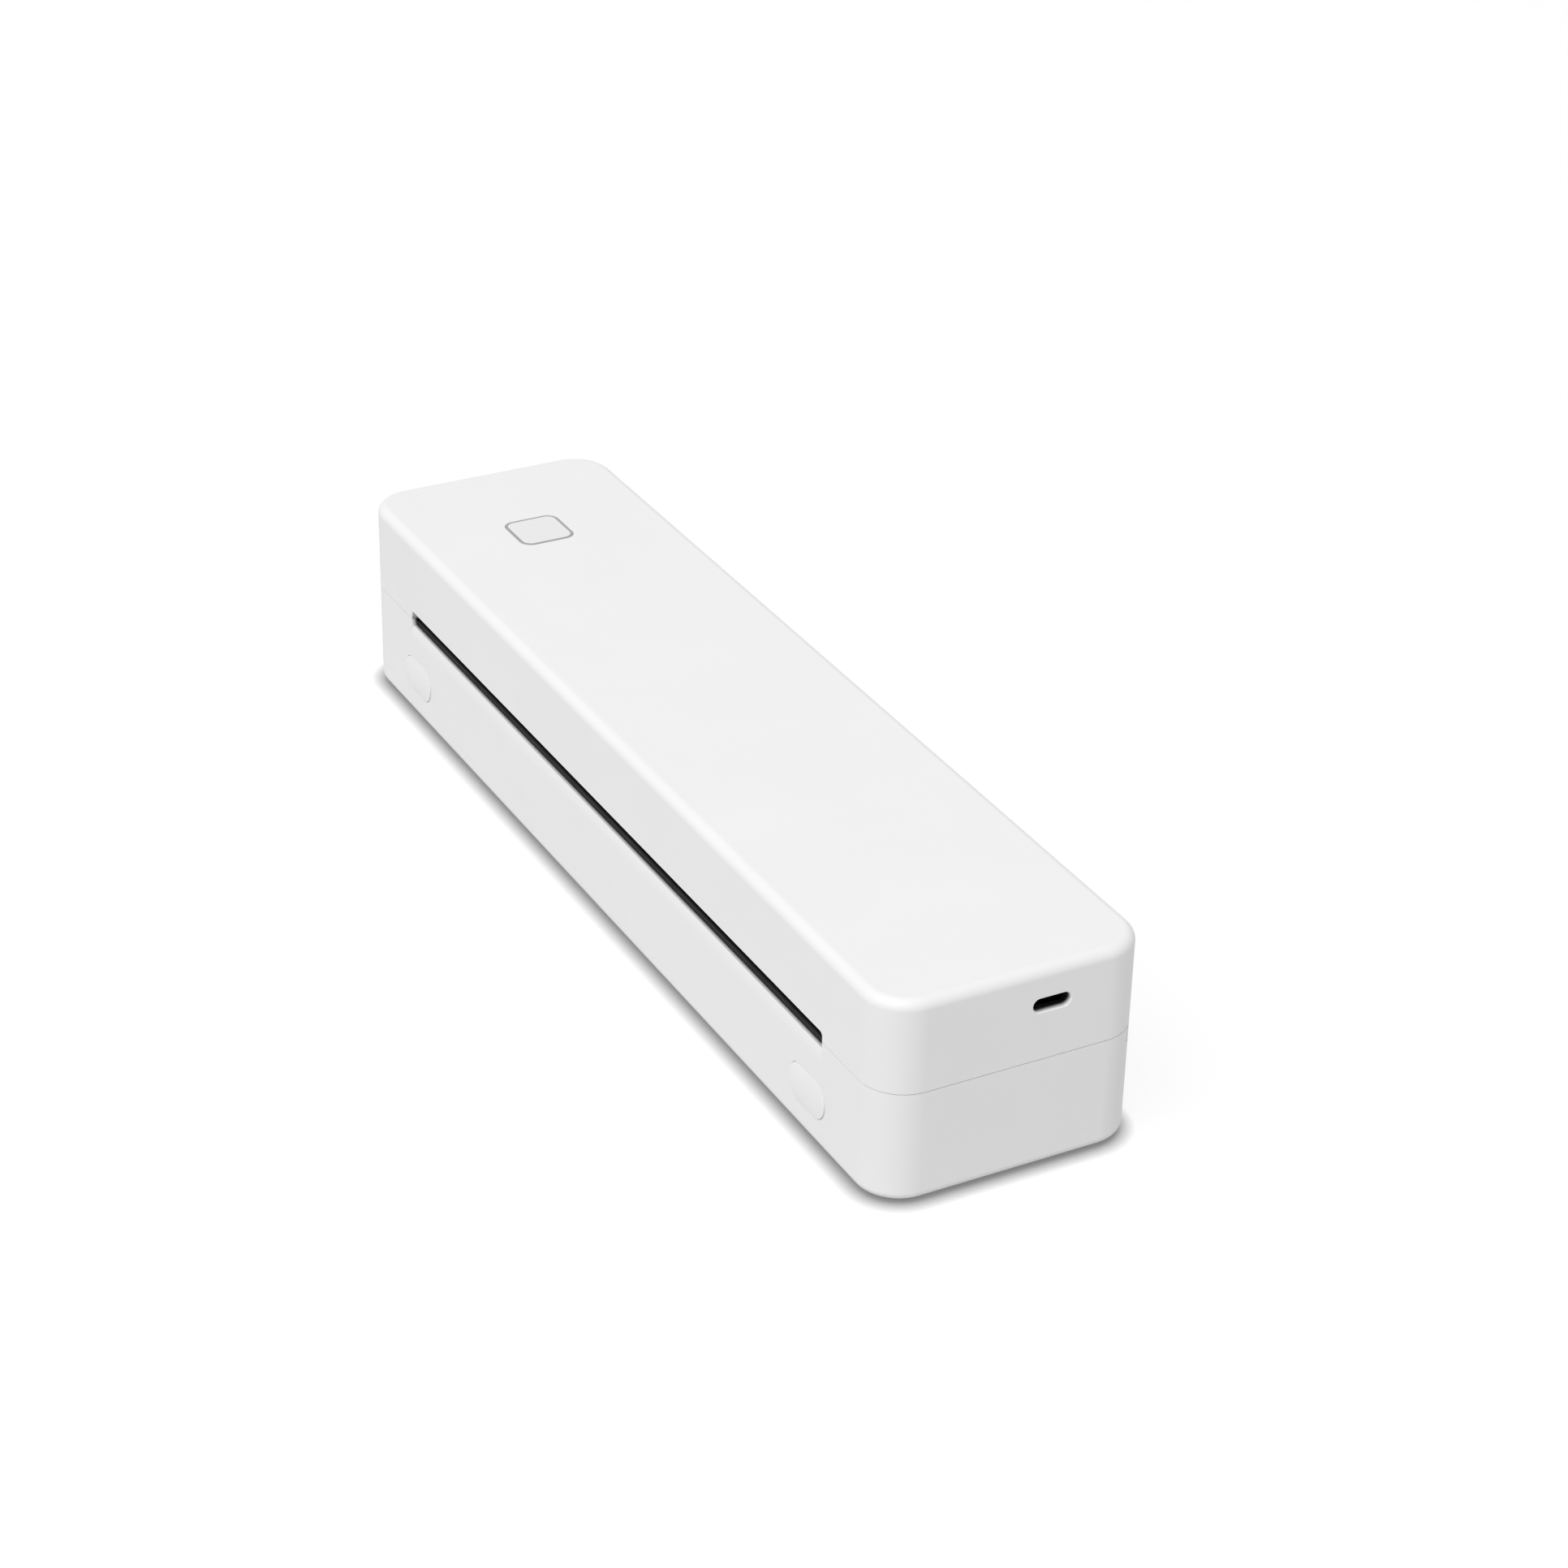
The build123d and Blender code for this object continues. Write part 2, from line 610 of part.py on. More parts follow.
with BuildPart() as platen_gear:
    gear_body(PLATEN_TEETH, platen_turn, platen_yz, (GEAR_LEFT, GEAR_LEFT + GEAR_WIDTH))
    rod((GEAR_LEFT, GEAR_LEFT + GEAR_WIDTH), PLATEN_Y, PLATEN_Z, SHAFT_RADIUS, Mode.SUBTRACT)
save(platen_gear.part, "platen_gear")

# ---------------------------------------------------------------------------
# Release buttons: rounded cap, flange behind the wall, arm and latch hook
# ---------------------------------------------------------------------------

for side, name in ((-1, "release_button_left"), (1, "release_button_right")):
    middle = side * RELEASE_X
    with BuildPart() as release_button:
        with BuildSketch(Plane.XZ.offset(-FRONT_Y + RELEASE_PROUD)):
            with Locations((middle, RELEASE_Z)):
                SlotOverall(RELEASE_WIDE, RELEASE_HIGH)
        extrude(amount=-RELEASE_PROUD - 4.0)
        # the finger pad is rounded from its upper to its lower edge
        rod((middle - RELEASE_WIDE / 2, middle + RELEASE_WIDE / 2), FRONT_Y - RELEASE_PROUD + DOME_RADIUS,
            DOME_Z, DOME_RADIUS, Mode.INTERSECT)
        # flange behind the wall, which keeps the button in its window
        block((middle - FLANGE_HALF_WIDE, middle + FLANGE_HALF_WIDE),
              (-INNER_Y + 0.3, -INNER_Y + 1.5),
              (RELEASE_Z - FLANGE_HALF_HIGH, RELEASE_Z + FLANGE_HALF_HIGH))
        # arm across to the hook, which stands up through the frame's window
        block(sorted((middle + side * 4, side * HOOK_RIGHT)), ARM_Y, (ARM_LOW, ARM_TOP))
        hook = sorted((side * HOOK_LEFT, side * HOOK_RIGHT))
        block(hook, (HOOK_FACE, ARM_Y[1]), (ARM_LOW, HOOK_TOP))
        with BuildSketch(Plane.YZ.offset(hook[0])):
            with BuildLine():
                Polyline((HOOK_FACE + 0.1, CATCH_TOP + HOOK_GAP), (HOOK_NOSE, CATCH_TOP + HOOK_GAP),
                         (HOOK_NOSE, CATCH_TOP + 0.6), (HOOK_FACE + 0.1, HOOK_TOP), close=True)
            make_face()
        extrude(amount=HOOK_RIGHT - HOOK_LEFT)
    save(release_button.part, name)

for side, name in ((-1, "release_spring_left"), (1, "release_spring_right")):
    with BuildPart() as release_spring:
        coil_spring(Vector(side * RELEASE_X, RELEASE_BACK, RELEASE_Z), Vector(0, 1, 0),
                    RELEASE_COIL, WIRE_RADIUS, SEAT_Y - RELEASE_BACK, RELEASE_TURNS)
    save(release_spring.part, name)

# ---------------------------------------------------------------------------
# Cover: shell with slot, port, button hole, hinge barrel, posts and catches
# ---------------------------------------------------------------------------

with BuildPart() as barrel:
    # the round back edge of the cover, kept inside the case's outline
    for side in SIDES:
        for low, high in ((KNUCKLE_INNER[1] + KNUCKLE_GAP, KNUCKLE_OUTER[0] - KNUCKLE_GAP),
                          (KNUCKLE_OUTER[1] + KNUCKLE_GAP, COVE_END - 0.3)):
            left = low if side > 0 else -high
            rod((left, left + high - low), HINGE_Y, HINGE_Z, ROLL_RADIUS)
    with BuildSketch():
        case_outline(0)
    extrude(amount=HEIGHT, mode=Mode.INTERSECT)

with BuildPart() as upper_case:
    with BuildSketch(Plane.XY.offset(COVER_BOTTOM)):
        case_outline(0)
    extrude(amount=HEIGHT - COVER_BOTTOM)
    fillet(upper_case.faces().sort_by(Axis.Z)[-1].edges(), TOP_EDGE)
    with BuildSketch(Plane.XY.offset(COVER_BOTTOM)):
        case_outline(WALL)
    extrude(amount=CEILING - COVER_BOTTOM, mode=Mode.SUBTRACT)
    # room for the lower case's knuckles and for the paper coming in at the back
    for low, high in ((-KNUCKLE_OUTER[1], -KNUCKLE_OUTER[0]), (-KNUCKLE_INNER[1], KNUCKLE_INNER[1]),
                      (KNUCKLE_OUTER[0], KNUCKLE_OUTER[1])):
        rod((low - KNUCKLE_GAP, high + KNUCKLE_GAP), HINGE_Y, HINGE_Z, COVE_RADIUS, Mode.SUBTRACT)
    add(barrel.part)
    rod((-KNUCKLE_OUTER[1], KNUCKLE_OUTER[1]), HINGE_Y, HINGE_Z, HINGE_PIN + RUNNING, Mode.SUBTRACT)
    # paper slot in the front wall
    with BuildSketch(Plane.XZ.offset(-FRONT_Y + 1)):
        with Locations((PATH_X, SLOT_TOP - 3)):
            RectangleRounded(SLOT_WIDTH, 6, SLOT_CORNER)
    extrude(amount=-WALL - 1.5, mode=Mode.SUBTRACT)
    # rebate behind the slot's upper edge for the tear strip
    block((PATH_X - TEAR_HALF - 0.1, PATH_X + TEAR_HALF + 0.1), (TEAR_Y, -INNER_Y + 0.5),
          (SLOT_TOP - 0.5, TEAR_TOP), Mode.SUBTRACT)
    # opening for the charging port, with a small bevel outside
    for grow, deep, taper in ((0, WALL + 0.5, 0), (0.5, 0.25, 45)):
        with BuildSketch(Plane.YZ.offset(END_X)):
            with Locations((USB_Y, USB_Z)):
                SlotOverall(USB_WIDE + grow, USB_HIGH + grow)
        extrude(amount=-deep, taper=taper, mode=Mode.SUBTRACT)
    # opening for the power button
    with BuildSketch(Plane.XY.offset(HEIGHT)):
        with Locations((BUTTON_X, BUTTON_Y)):
            RectangleRounded(BUTTON_HOLE, BUTTON_HOLE, BUTTON_CORNER + 0.5)
    extrude(amount=-WALL - 0.5, mode=Mode.SUBTRACT)
    # posts for the inner frame and the button board, with pilot holes
    for x, y in FRAME_SCREWS:
        radius = SLIM_POST if y < -26 else POST_RADIUS
        post(x, y, (FRAME_TOP, CEILING + 0.5), radius)
        post(x, y, (FRAME_TOP, FRAME_TOP + PILOT_DEEP), SCREW_SHANK, Mode.SUBTRACT)
    for x, y in BUTTON_BOARD_SCREWS:
        post(x, y, (BUTTON_BOARD_TOP, CEILING + 0.5), SLIM_POST)
        post(x, y, (BUTTON_BOARD_TOP, BUTTON_BOARD_TOP + 4), SCREW_SHANK, Mode.SUBTRACT)
    # ledges that the release hooks hold
    for side in SIDES:
        block(sorted((side * (HOOK_LEFT - 0.3), side * (HOOK_RIGHT + 0.3))),
              (-INNER_Y - 0.5, CATCH_BACK), (CATCH_LOW, CATCH_TOP))
save(upper_case.part, "upper_case")

# ---------------------------------------------------------------------------
# Inner frame: black panel that closes the cover from below
# ---------------------------------------------------------------------------

with BuildPart() as inner_frame:
    with BuildSketch(Plane.XY.offset(FRAME_LOW)):
        case_outline(WALL + FRAME_GAP)
        with Locations((0, FRAME_BACK + 10)):
            Rectangle(LENGTH, 20, mode=Mode.SUBTRACT)
        # room for the tear strip and the paper along the front
        with Locations((PATH_X, FRONT_Y)):
            Rectangle(SLOT_WIDTH, 2 * (WALL + 0.9), mode=Mode.SUBTRACT)
        # print head, gears and release hooks
        with Locations((PATH_X, (HEAD_FRONT + HEAD_BACK) / 2)):
            Rectangle(2 * HEAD_HALF + 1.2, HEAD_BACK - HEAD_FRONT + 1, mode=Mode.SUBTRACT)
        with Locations(((GEAR_WELL_X[0] + GEAR_WELL_X[1]) / 2, (GEAR_WELL_Y[0] + GEAR_WELL_Y[1]) / 2)):
            Rectangle(GEAR_WELL_X[1] - GEAR_WELL_X[0], GEAR_WELL_Y[1] - GEAR_WELL_Y[0],
                      mode=Mode.SUBTRACT)
        for side in SIDES:
            with Locations((side * (HOOK_LEFT + HOOK_RIGHT) / 2, -26.0)):
                Rectangle(HOOK_RIGHT - HOOK_LEFT + 1.4, 7.4, mode=Mode.SUBTRACT)
        with Locations(SENSOR_XY):
            Rectangle(7.2, 4.2, mode=Mode.SUBTRACT)
    extrude(amount=FRAME_THICK)
    # ears for the head's pivot pins and pillars for the spring bar
    for side in SIDES:
        near = PATH_X + side * EAR_INNER
        block(sorted((near, near + side * EAR_THICK)), (PIVOT_Y - 2.5, PIVOT_Y + 2.5),
              (FRAME_TOP, PIVOT_Z + 2.3))
        block(sorted((near, near + side * PILLAR_THICK)), (BAR_FRONT, BAR_FRONT + PILLAR_DEEP),
              (FRAME_TOP, BAR_LOW))
        post(near + side * PILLAR_THICK / 2, BAR_SCREW_Y, (FRAME_TOP, BAR_LOW), SMALL_SHANK, Mode.SUBTRACT)
        rod(sorted((near - side, near + side * 3)), PIVOT_Y, PIVOT_Z, PIN_RADIUS, Mode.SUBTRACT)
    # bosses for the main board
    for x, y in BOARD_SCREWS:
        post(x, y, (FRAME_TOP, BOARD_LOW), SLIM_POST)
        post(x, y, (FRAME_TOP, BOARD_LOW), SCREW_SHANK, Mode.SUBTRACT)
    # pilot holes for the drive plate's feet
    for x, y in DRIVE_SCREWS:
        post(x, y, (FRAME_LOW, FRAME_TOP), SMALL_SHANK, Mode.SUBTRACT)
    # shallow paper ribs on the underside
    for step in PAPER_RIBS:
        x = PATH_X + PAPER_RIB_PITCH * step
        block((x - PAPER_RIB_WIDE / 2, x + PAPER_RIB_WIDE / 2), (-1, FRAME_BACK - 1),
              (FRAME_LOW - 0.3, FRAME_LOW))
    countersink(FRAME_SCREWS, FRAME_LOW, FRAME_THICK, up=True)
save(inner_frame.part, "inner_frame")

save(countersunk(FRAME_SCREWS, FRAME_LOW, FRAME_SCREW_LONG, up=True), "frame_screws")

# ---------------------------------------------------------------------------
# Tear strip: thin toothed strip in a rebate behind the slot's upper edge
# ---------------------------------------------------------------------------

with BuildPart() as tear_strip:
    with BuildSketch(Plane.XZ.offset(-TEAR_Y)):
        with BuildLine():
            teeth = [(PATH_X - TEAR_HALF, TEAR_TOP)]
            for tooth in range(TEAR_TEETH):
                x = PATH_X - TEAR_HALF + tooth * TEAR_PITCH
                teeth.append((x, TEAR_LOW + TEAR_DEEP))
                teeth.append((x + TEAR_PITCH / 2, TEAR_LOW))
            teeth.append((PATH_X + TEAR_HALF, TEAR_LOW + TEAR_DEEP))
            teeth.append((PATH_X + TEAR_HALF, TEAR_TOP))
            Polyline(*teeth, close=True)
        make_face()
    extrude(amount=-TEAR_THICK)
save(tear_strip.part, "tear_strip")

# ---------------------------------------------------------------------------
# Print head: heatsink, ceramic bar, driver cover, connector and pivot pins
# ---------------------------------------------------------------------------

with BuildPart() as head_sink:
    block((PATH_X - HEAD_HALF, PATH_X + HEAD_HALF), (HEAD_FRONT, HEAD_BACK), (SINK_LOW, SINK_TOP))
    for side in SIDES:
        end = PATH_X + side * HEAD_HALF
        block(sorted((end - side * 3, end)), (PIVOT_Y - 1.9, HEAD_BACK), (SINK_TOP, PIVOT_Z + 1.9))
        rod(sorted((end - side * 4, end + side)), PIVOT_Y, PIVOT_Z, PIN_RADIUS + RUNNING, Mode.SUBTRACT)
    for x in HEAD_SPRINGS:
        post(PATH_X + x, SPRING_Y, (SINK_TOP, SINK_TOP + 1.5), 1.6)
    chamfer(head_sink.faces().sort_by(Axis.Y)[0].edges().sort_by(Axis.Z)[0], 0.8)
save(head_sink.part, "head_sink")

with BuildPart() as head_ceramic:
    block((PATH_X - HEAD_HALF + 0.5, PATH_X + HEAD_HALF - 0.5), (-18.2, -8), (HEAD_LOW, SINK_LOW))
save(head_ceramic.part, "head_ceramic")

with BuildPart() as driver_cover:
    block((PATH_X - HEAD_HALF + 6, PATH_X + HEAD_HALF - 6), (-7.6, -4), (HEAD_LOW + 0.2, SINK_LOW))
    chamfer(driver_cover.faces().sort_by(Axis.Z)[0].edges().filter_by(Axis.X), 0.3)
save(driver_cover.part, "driver_cover")

with BuildPart() as head_connector:
    block((HEAD_PLUG_X - 16, HEAD_PLUG_X + 16), (-8.6, -4.8), (SINK_TOP, HEAD_PLUG_TOP))
save(head_connector.part, "head_connector")

with BuildPart() as head_pins:
    for side in SIDES:
        near = PATH_X + side * (HEAD_HALF - 3)
        rod(sorted((near, near + side * 6)), PIVOT_Y, PIVOT_Z, PIN_RADIUS)
save(head_pins.part, "head_pins")

with BuildPart() as spring_bar:
    half = EAR_INNER + PILLAR_THICK
    block((PATH_X - half, PATH_X + half), (BAR_FRONT, BAR_BACK), (BAR_LOW, BAR_TOP))
    # folded edge that keeps the bar from bending
    block((PATH_X - half + 6, PATH_X + half - 6), (BAR_BACK - BAR_THICK, BAR_BACK),
          (BAR_LOW - 1.8, BAR_LOW))
    for side in SIDES:
        x = PATH_X + side * (EAR_INNER + PILLAR_THICK / 2)
        post(x, BAR_SCREW_Y, (BAR_LOW, BAR_TOP), SMALL_HOLE, Mode.SUBTRACT)
save(spring_bar.part, "spring_bar")

with BuildPart() as bar_screws:
    for side in SIDES:
        x = PATH_X + side * (EAR_INNER + PILLAR_THICK / 2)
        post(x, BAR_SCREW_Y, (BAR_LOW - 4, BAR_TOP), SMALL_SHANK)
        post(x, BAR_SCREW_Y, (BAR_TOP, BAR_TOP + SMALL_HEAD_HIGH), SMALL_HEAD)
save(bar_screws.part, "bar_screws")

with BuildPart() as head_springs:
    for x in HEAD_SPRINGS:
        coil_spring(Vector(PATH_X + x, SPRING_Y, SINK_TOP), Vector(0, 0, 1), HEAD_COIL,
                    WIRE_RADIUS, BAR_LOW - SINK_TOP, HEAD_TURNS)
save(head_springs.part, "head_springs")

# ---------------------------------------------------------------------------
# Drive: steel plate, axles, motor and gears at the left end
# ---------------------------------------------------------------------------

with BuildPart() as drive_plate:
    block((PLATE_LEFT, PLATE_LEFT + PLATE_THICK), (PLATE_Y[0], PLATE_Y[1]), (FRAME_TOP, PLATE_TOP))
    fillet(drive_plate.edges().filter_by(Axis.X).group_by(Axis.Z)[-1], 3.0)
    for low, high in PLATE_FEET:
        block((PLATE_LEFT, PLATE_LEFT + 5), (low, high), (FRAME_TOP, FOOT_PLATE_TOP))
    for x, y in DRIVE_SCREWS:
        post(x, y, (FRAME_TOP, FOOT_PLATE_TOP), SMALL_HOLE, Mode.SUBTRACT)
    for y, z in (IDLER_YZ, COMPOUND_YZ):
        rod((PLATE_LEFT, MOTOR_LEFT), y, z, AXLE_RADIUS, Mode.SUBTRACT)
    rod((PLATE_LEFT, MOTOR_LEFT), *MOTOR_YZ, MOTOR_SPIGOT + 0.1, Mode.SUBTRACT)
save(drive_plate.part, "drive_plate")

with BuildPart() as drive_screws:
    for x, y in DRIVE_SCREWS:
        post(x, y, (FRAME_LOW + 0.2, FOOT_PLATE_TOP), SMALL_SHANK)
        post(x, y, (FOOT_PLATE_TOP, FOOT_PLATE_TOP + SMALL_HEAD_HIGH), SMALL_HEAD)
save(drive_screws.part, "drive_screws")

with BuildPart() as gear_axles:
    for (y, z), left in ((IDLER_YZ, GEAR_LEFT), (COMPOUND_YZ, LARGE_LEFT)):
        rod((left - SIDE_PLAY, MOTOR_LEFT), y, z, AXLE_RADIUS)
        rod((left - SIDE_PLAY - AXLE_CAP_THICK, left - SIDE_PLAY), y, z, AXLE_CAP)
save(gear_axles.part, "gear_axles")

with BuildPart() as idler_gear:
    gear_body(IDLER_TEETH, idler_turn, IDLER_YZ, (GEAR_LEFT, GEAR_LEFT + GEAR_WIDTH))
    rod((GEAR_LEFT, GEAR_LEFT + GEAR_WIDTH), *IDLER_YZ, AXLE_RADIUS + RUNNING, Mode.SUBTRACT)
save(idler_gear.part, "idler_gear")

with BuildPart() as compound_gear:
    gear_body(SMALL_TEETH, compound_turn, COMPOUND_YZ, (LARGE_LEFT + LARGE_WIDTH, GEAR_LEFT + GEAR_WIDTH))
    gear_body(LARGE_TEETH, compound_turn, COMPOUND_YZ, (LARGE_LEFT, LARGE_LEFT + LARGE_WIDTH))
    rod((LARGE_LEFT, GEAR_LEFT + GEAR_WIDTH), *COMPOUND_YZ, AXLE_RADIUS + RUNNING, Mode.SUBTRACT)
save(compound_gear.part, "compound_gear")

with BuildPart() as motor_pinion:
    gear_body(PINION_TEETH, pinion_turn, MOTOR_YZ, (LARGE_LEFT, LARGE_LEFT + LARGE_WIDTH))
    rod((LARGE_LEFT, LARGE_LEFT + LARGE_WIDTH), *MOTOR_YZ, MOTOR_SHAFT, Mode.SUBTRACT)
save(motor_pinion.part, "motor_pinion")

with BuildPart() as motor_shaft:
    rod((LARGE_LEFT, SHAFT_RIGHT), *MOTOR_YZ, MOTOR_SHAFT)
save(motor_shaft.part, "motor_shaft")

with BuildPart() as motor:
    rod((MOTOR_LEFT, MOTOR_RIGHT), *MOTOR_YZ, MOTOR_RADIUS)
    fillet(motor.edges().filter_by(GeomType.CIRCLE).sort_by(Axis.X)[-1], 0.8)
    rod((PLATE_LEFT, MOTOR_LEFT), *MOTOR_YZ, MOTOR_SPIGOT)
    rod((PLATE_LEFT, SHAFT_RIGHT), *MOTOR_YZ, MOTOR_SHAFT + RUNNING, Mode.SUBTRACT)
save(motor.part, "motor")

with BuildPart() as motor_socket:
    block((MOTOR_RIGHT, MOTOR_RIGHT + MOTOR_SOCKET_LONG), (MOTOR_YZ[0] - 3, MOTOR_YZ[0] + 4),
          (MOTOR_YZ[1] - 5.4, MOTOR_YZ[1] - 1.8))
save(motor_socket.part, "motor_socket")

# ---------------------------------------------------------------------------
# Power button and its switch
# ---------------------------------------------------------------------------

with BuildPart() as power_button:
    with BuildSketch(Plane.XY.offset(BUTTON_SKIRT_TOP)):
        with Locations((BUTTON_X, BUTTON_Y)):
            RectangleRounded(BUTTON_CAP, BUTTON_CAP, BUTTON_CORNER)
    extrude(amount=HEIGHT + BUTTON_PROUD - BUTTON_SKIRT_TOP)
    fillet(power_button.faces().sort_by(Axis.Z)[-1].edges(), 0.5)
    # skirt under the top wall, which keeps the button in its hole
    with BuildSketch(Plane.XY.offset(BUTTON_SKIRT_LOW)):
        with Locations((BUTTON_X, BUTTON_Y)):
            RectangleRounded(BUTTON_HOLE + 1.2, BUTTON_HOLE + 0.8, BUTTON_CORNER)
    extrude(amount=BUTTON_SKIRT_TOP - BUTTON_SKIRT_LOW)
    # stem down to the switch
    post(BUTTON_X, BUTTON_Y, (PLUNGER_TOP, BUTTON_SKIRT_LOW), 2.2)
save(power_button.part, "power_button")

with BuildPart() as switch_plunger:
    post(BUTTON_X, BUTTON_Y, (PLUNGER_LOW, PLUNGER_TOP), PLUNGER_RADIUS)
save(switch_plunger.part, "switch_plunger")

with BuildPart() as power_switch:
    block((BUTTON_X - 3, BUTTON_X + 3), (BUTTON_Y - 3, BUTTON_Y + 3), (BUTTON_BOARD_TOP, SWITCH_TOP))
    post(BUTTON_X, BUTTON_Y, (PLUNGER_LOW - 0.6, SWITCH_TOP), PLUNGER_RADIUS + RUNNING, Mode.SUBTRACT)
save(power_switch.part, "power_switch")

with BuildPart() as button_board:
    block((-109.0, -83.2), (-8.2, 4.0), (BUTTON_BOARD_LOW, BUTTON_BOARD_TOP))
    for x, y in BUTTON_BOARD_SCREWS:
        post(x, y, (BUTTON_BOARD_LOW, BUTTON_BOARD_TOP), SMALL_HOLE, Mode.SUBTRACT)
save(button_board.part, "button_board")

with BuildPart() as button_board_screws:
    for x, y in BUTTON_BOARD_SCREWS:
        post(x, y, (BUTTON_BOARD_LOW - SMALL_HEAD_HIGH, BUTTON_BOARD_LOW), BOARD_SCREW_HEAD)
        post(x, y, (BUTTON_BOARD_LOW, BUTTON_BOARD_TOP + 3), SCREW_SHANK)
save(button_board_screws.part, "button_board_screws")

# ---------------------------------------------------------------------------
# Main board with its port, plugs and larger components
# ---------------------------------------------------------------------------

with BuildPart() as main_board:
    block(BOARD_X, BOARD_Y, (BOARD_LOW, BOARD_TOP))
    # notch round the case's post in the back corner
    post(*FRAME_SCREWS[3], (BOARD_LOW, BOARD_TOP), POST_RADIUS + 0.6, Mode.SUBTRACT)
    for x, y in BOARD_SCREWS:
        post(x, y, (BOARD_LOW, BOARD_TOP), SMALL_HOLE, Mode.SUBTRACT)
save(main_board.part, "main_board")

with BuildPart() as board_screws:
    for x, y in BOARD_SCREWS:
        post(x, y, (BOARD_LOW - 5, BOARD_TOP), SCREW_SHANK)
        post(x, y, (BOARD_TOP, BOARD_TOP + SMALL_HEAD_HIGH), BOARD_SCREW_HEAD)
save(board_screws.part, "board_screws")

with BuildPart() as usb_shell:
    with BuildSketch(Plane.YZ.offset(USB_LEFT)):
        with Locations((USB_Y, USB_Z)):
            SlotOverall(USB_WIDE, USB_HIGH)
    extrude(amount=USB_LONG)
    with BuildSketch(Plane.YZ.offset(USB_LEFT)):
        with Locations((USB_Y, USB_Z)):
            SlotOverall(USB_WIDE - 2 * USB_SHEET, USB_HIGH - 2 * USB_SHEET)
    extrude(amount=USB_LONG, mode=Mode.SUBTRACT)
save(usb_shell.part, "usb_shell")

with BuildPart() as usb_tongue:
    with BuildSketch(Plane.YZ.offset(USB_LEFT)):
        with Locations((USB_Y, USB_Z)):
            SlotOverall(USB_WIDE - 2 * USB_SHEET, USB_HIGH - 2 * USB_SHEET)
    extrude(amount=1.4)
    block((USB_LEFT, USB_LEFT + USB_LONG - 0.6), (USB_Y - 3.3, USB_Y + 3.3), (USB_Z - 0.35, USB_Z + 0.35))
save(usb_tongue.part, "usb_tongue")

with BuildPart() as board_sockets:
    # battery, button board and motor sockets on top, and the head's ribbon clamp
    for x, y in ((25.5, 12.6), (25.5, 7.0)):
        block((x - 3.0, x + 3.0), (y - 2.6, y + 2.6), (BOARD_TOP, BOARD_TOP + SOCKET_HIGH))
    block((35, 45), (15.4, 21.5), (BOARD_TOP, BOARD_TOP + SOCKET_HIGH))
    block((HEAD_PLUG_X - 16, HEAD_PLUG_X + 16), (-0.8, 3.4), (BOARD_TOP, BOARD_TOP + 2.2))
save(board_sockets.part, "board_sockets")

with BuildPart() as board_chips:
    for x, y, wide, deep, high in BOARD_CHIPS:
        block((x - wide / 2, x + wide / 2), (y - deep / 2, y + deep / 2), (BOARD_TOP, BOARD_TOP + high))
save(board_chips.part, "board_chips")

with BuildPart() as radio_can:
    block((50, 66), (6, 19), (BOARD_TOP, BOARD_TOP + 2.4))
    fillet(radio_can.edges().filter_by(Axis.Z), 0.6)
save(radio_can.part, "radio_can")

with BuildPart() as capacitors:
    for x, y in ((104, 14), (104, 6.6)):
        post(x, y, (BOARD_TOP + 0.8, BOARD_TOP + 6.2), 3.15)
        block((x - 3.3, x + 3.3), (y - 3.3, y + 3.3), (BOARD_TOP, BOARD_TOP + 0.8))
save(capacitors.part, "capacitors")

# ---------------------------------------------------------------------------
# Battery, paper sensor and inner cables
# ---------------------------------------------------------------------------

with BuildPart() as battery_pack:
    block(BATTERY_X, BATTERY_Y, BATTERY_Z)
    fillet(battery_pack.edges().filter_by(Axis.X), 2.5)
    fillet(battery_pack.faces().sort_by(Axis.X)[0].edges(), 0.6)
save(battery_pack.part, "battery_pack")

with BuildPart() as battery_pad:
    block((BATTERY_X[0] + 6, BATTERY_X[1] - 6), (BATTERY_Y[0] + 3.5, BATTERY_Y[1] - 3.5),
          (FRAME_TOP, BATTERY_Z[0]))
save(battery_pad.part, "battery_pad")

with BuildPart() as paper_sensor:
    x, y = SENSOR_XY
    block((x - 3.5, x + 3.5), (y - 2, y + 2), (FRAME_LOW, FRAME_TOP + 2))
    block((x - 4.5, x + 4.5), (y - 2, y + 2), (FRAME_TOP, FRAME_TOP + 2))
save(paper_sensor.part, "paper_sensor")

battery_cable = cable([(BATTERY_X[1], 12.6, 38), (13.2, 12.6, 38), (17.6, 12.6, SOCKET_Z),
                       (22.5, 12.6, SOCKET_Z)], [4.0, 4.0], 1.0)
save(battery_cable, "battery_cable")

button_cable = cable([(-84.8, 1.4, 43.8), (-70, 1.4, 43.8), (10.5, 7.0, 43.8),
                      (17.5, 7.0, SOCKET_Z), (22.5, 7.0, SOCKET_Z)], [60, 6, 5], 0.7)
save(button_cable, "button_cable")

with BuildPart() as button_socket:
    block((-89.4, -84.8), (-1.4, 3.6), (BUTTON_BOARD_TOP, BUTTON_BOARD_TOP + 2.8))
save(button_socket.part, "button_socket")

motor_cable = cable([(MOTOR_RIGHT + MOTOR_SOCKET_LONG, 13, 35.3), (-84.2, 13, 35.3),
                     (-84.2, 26.4, 35.3), (31, 26.4, 35.3), (40, 26.4, SOCKET_Z),
                     (40, 21.5, SOCKET_Z)], [3.5, 5, 8, 2.2], 0.9)
save(motor_cable, "motor_cable")

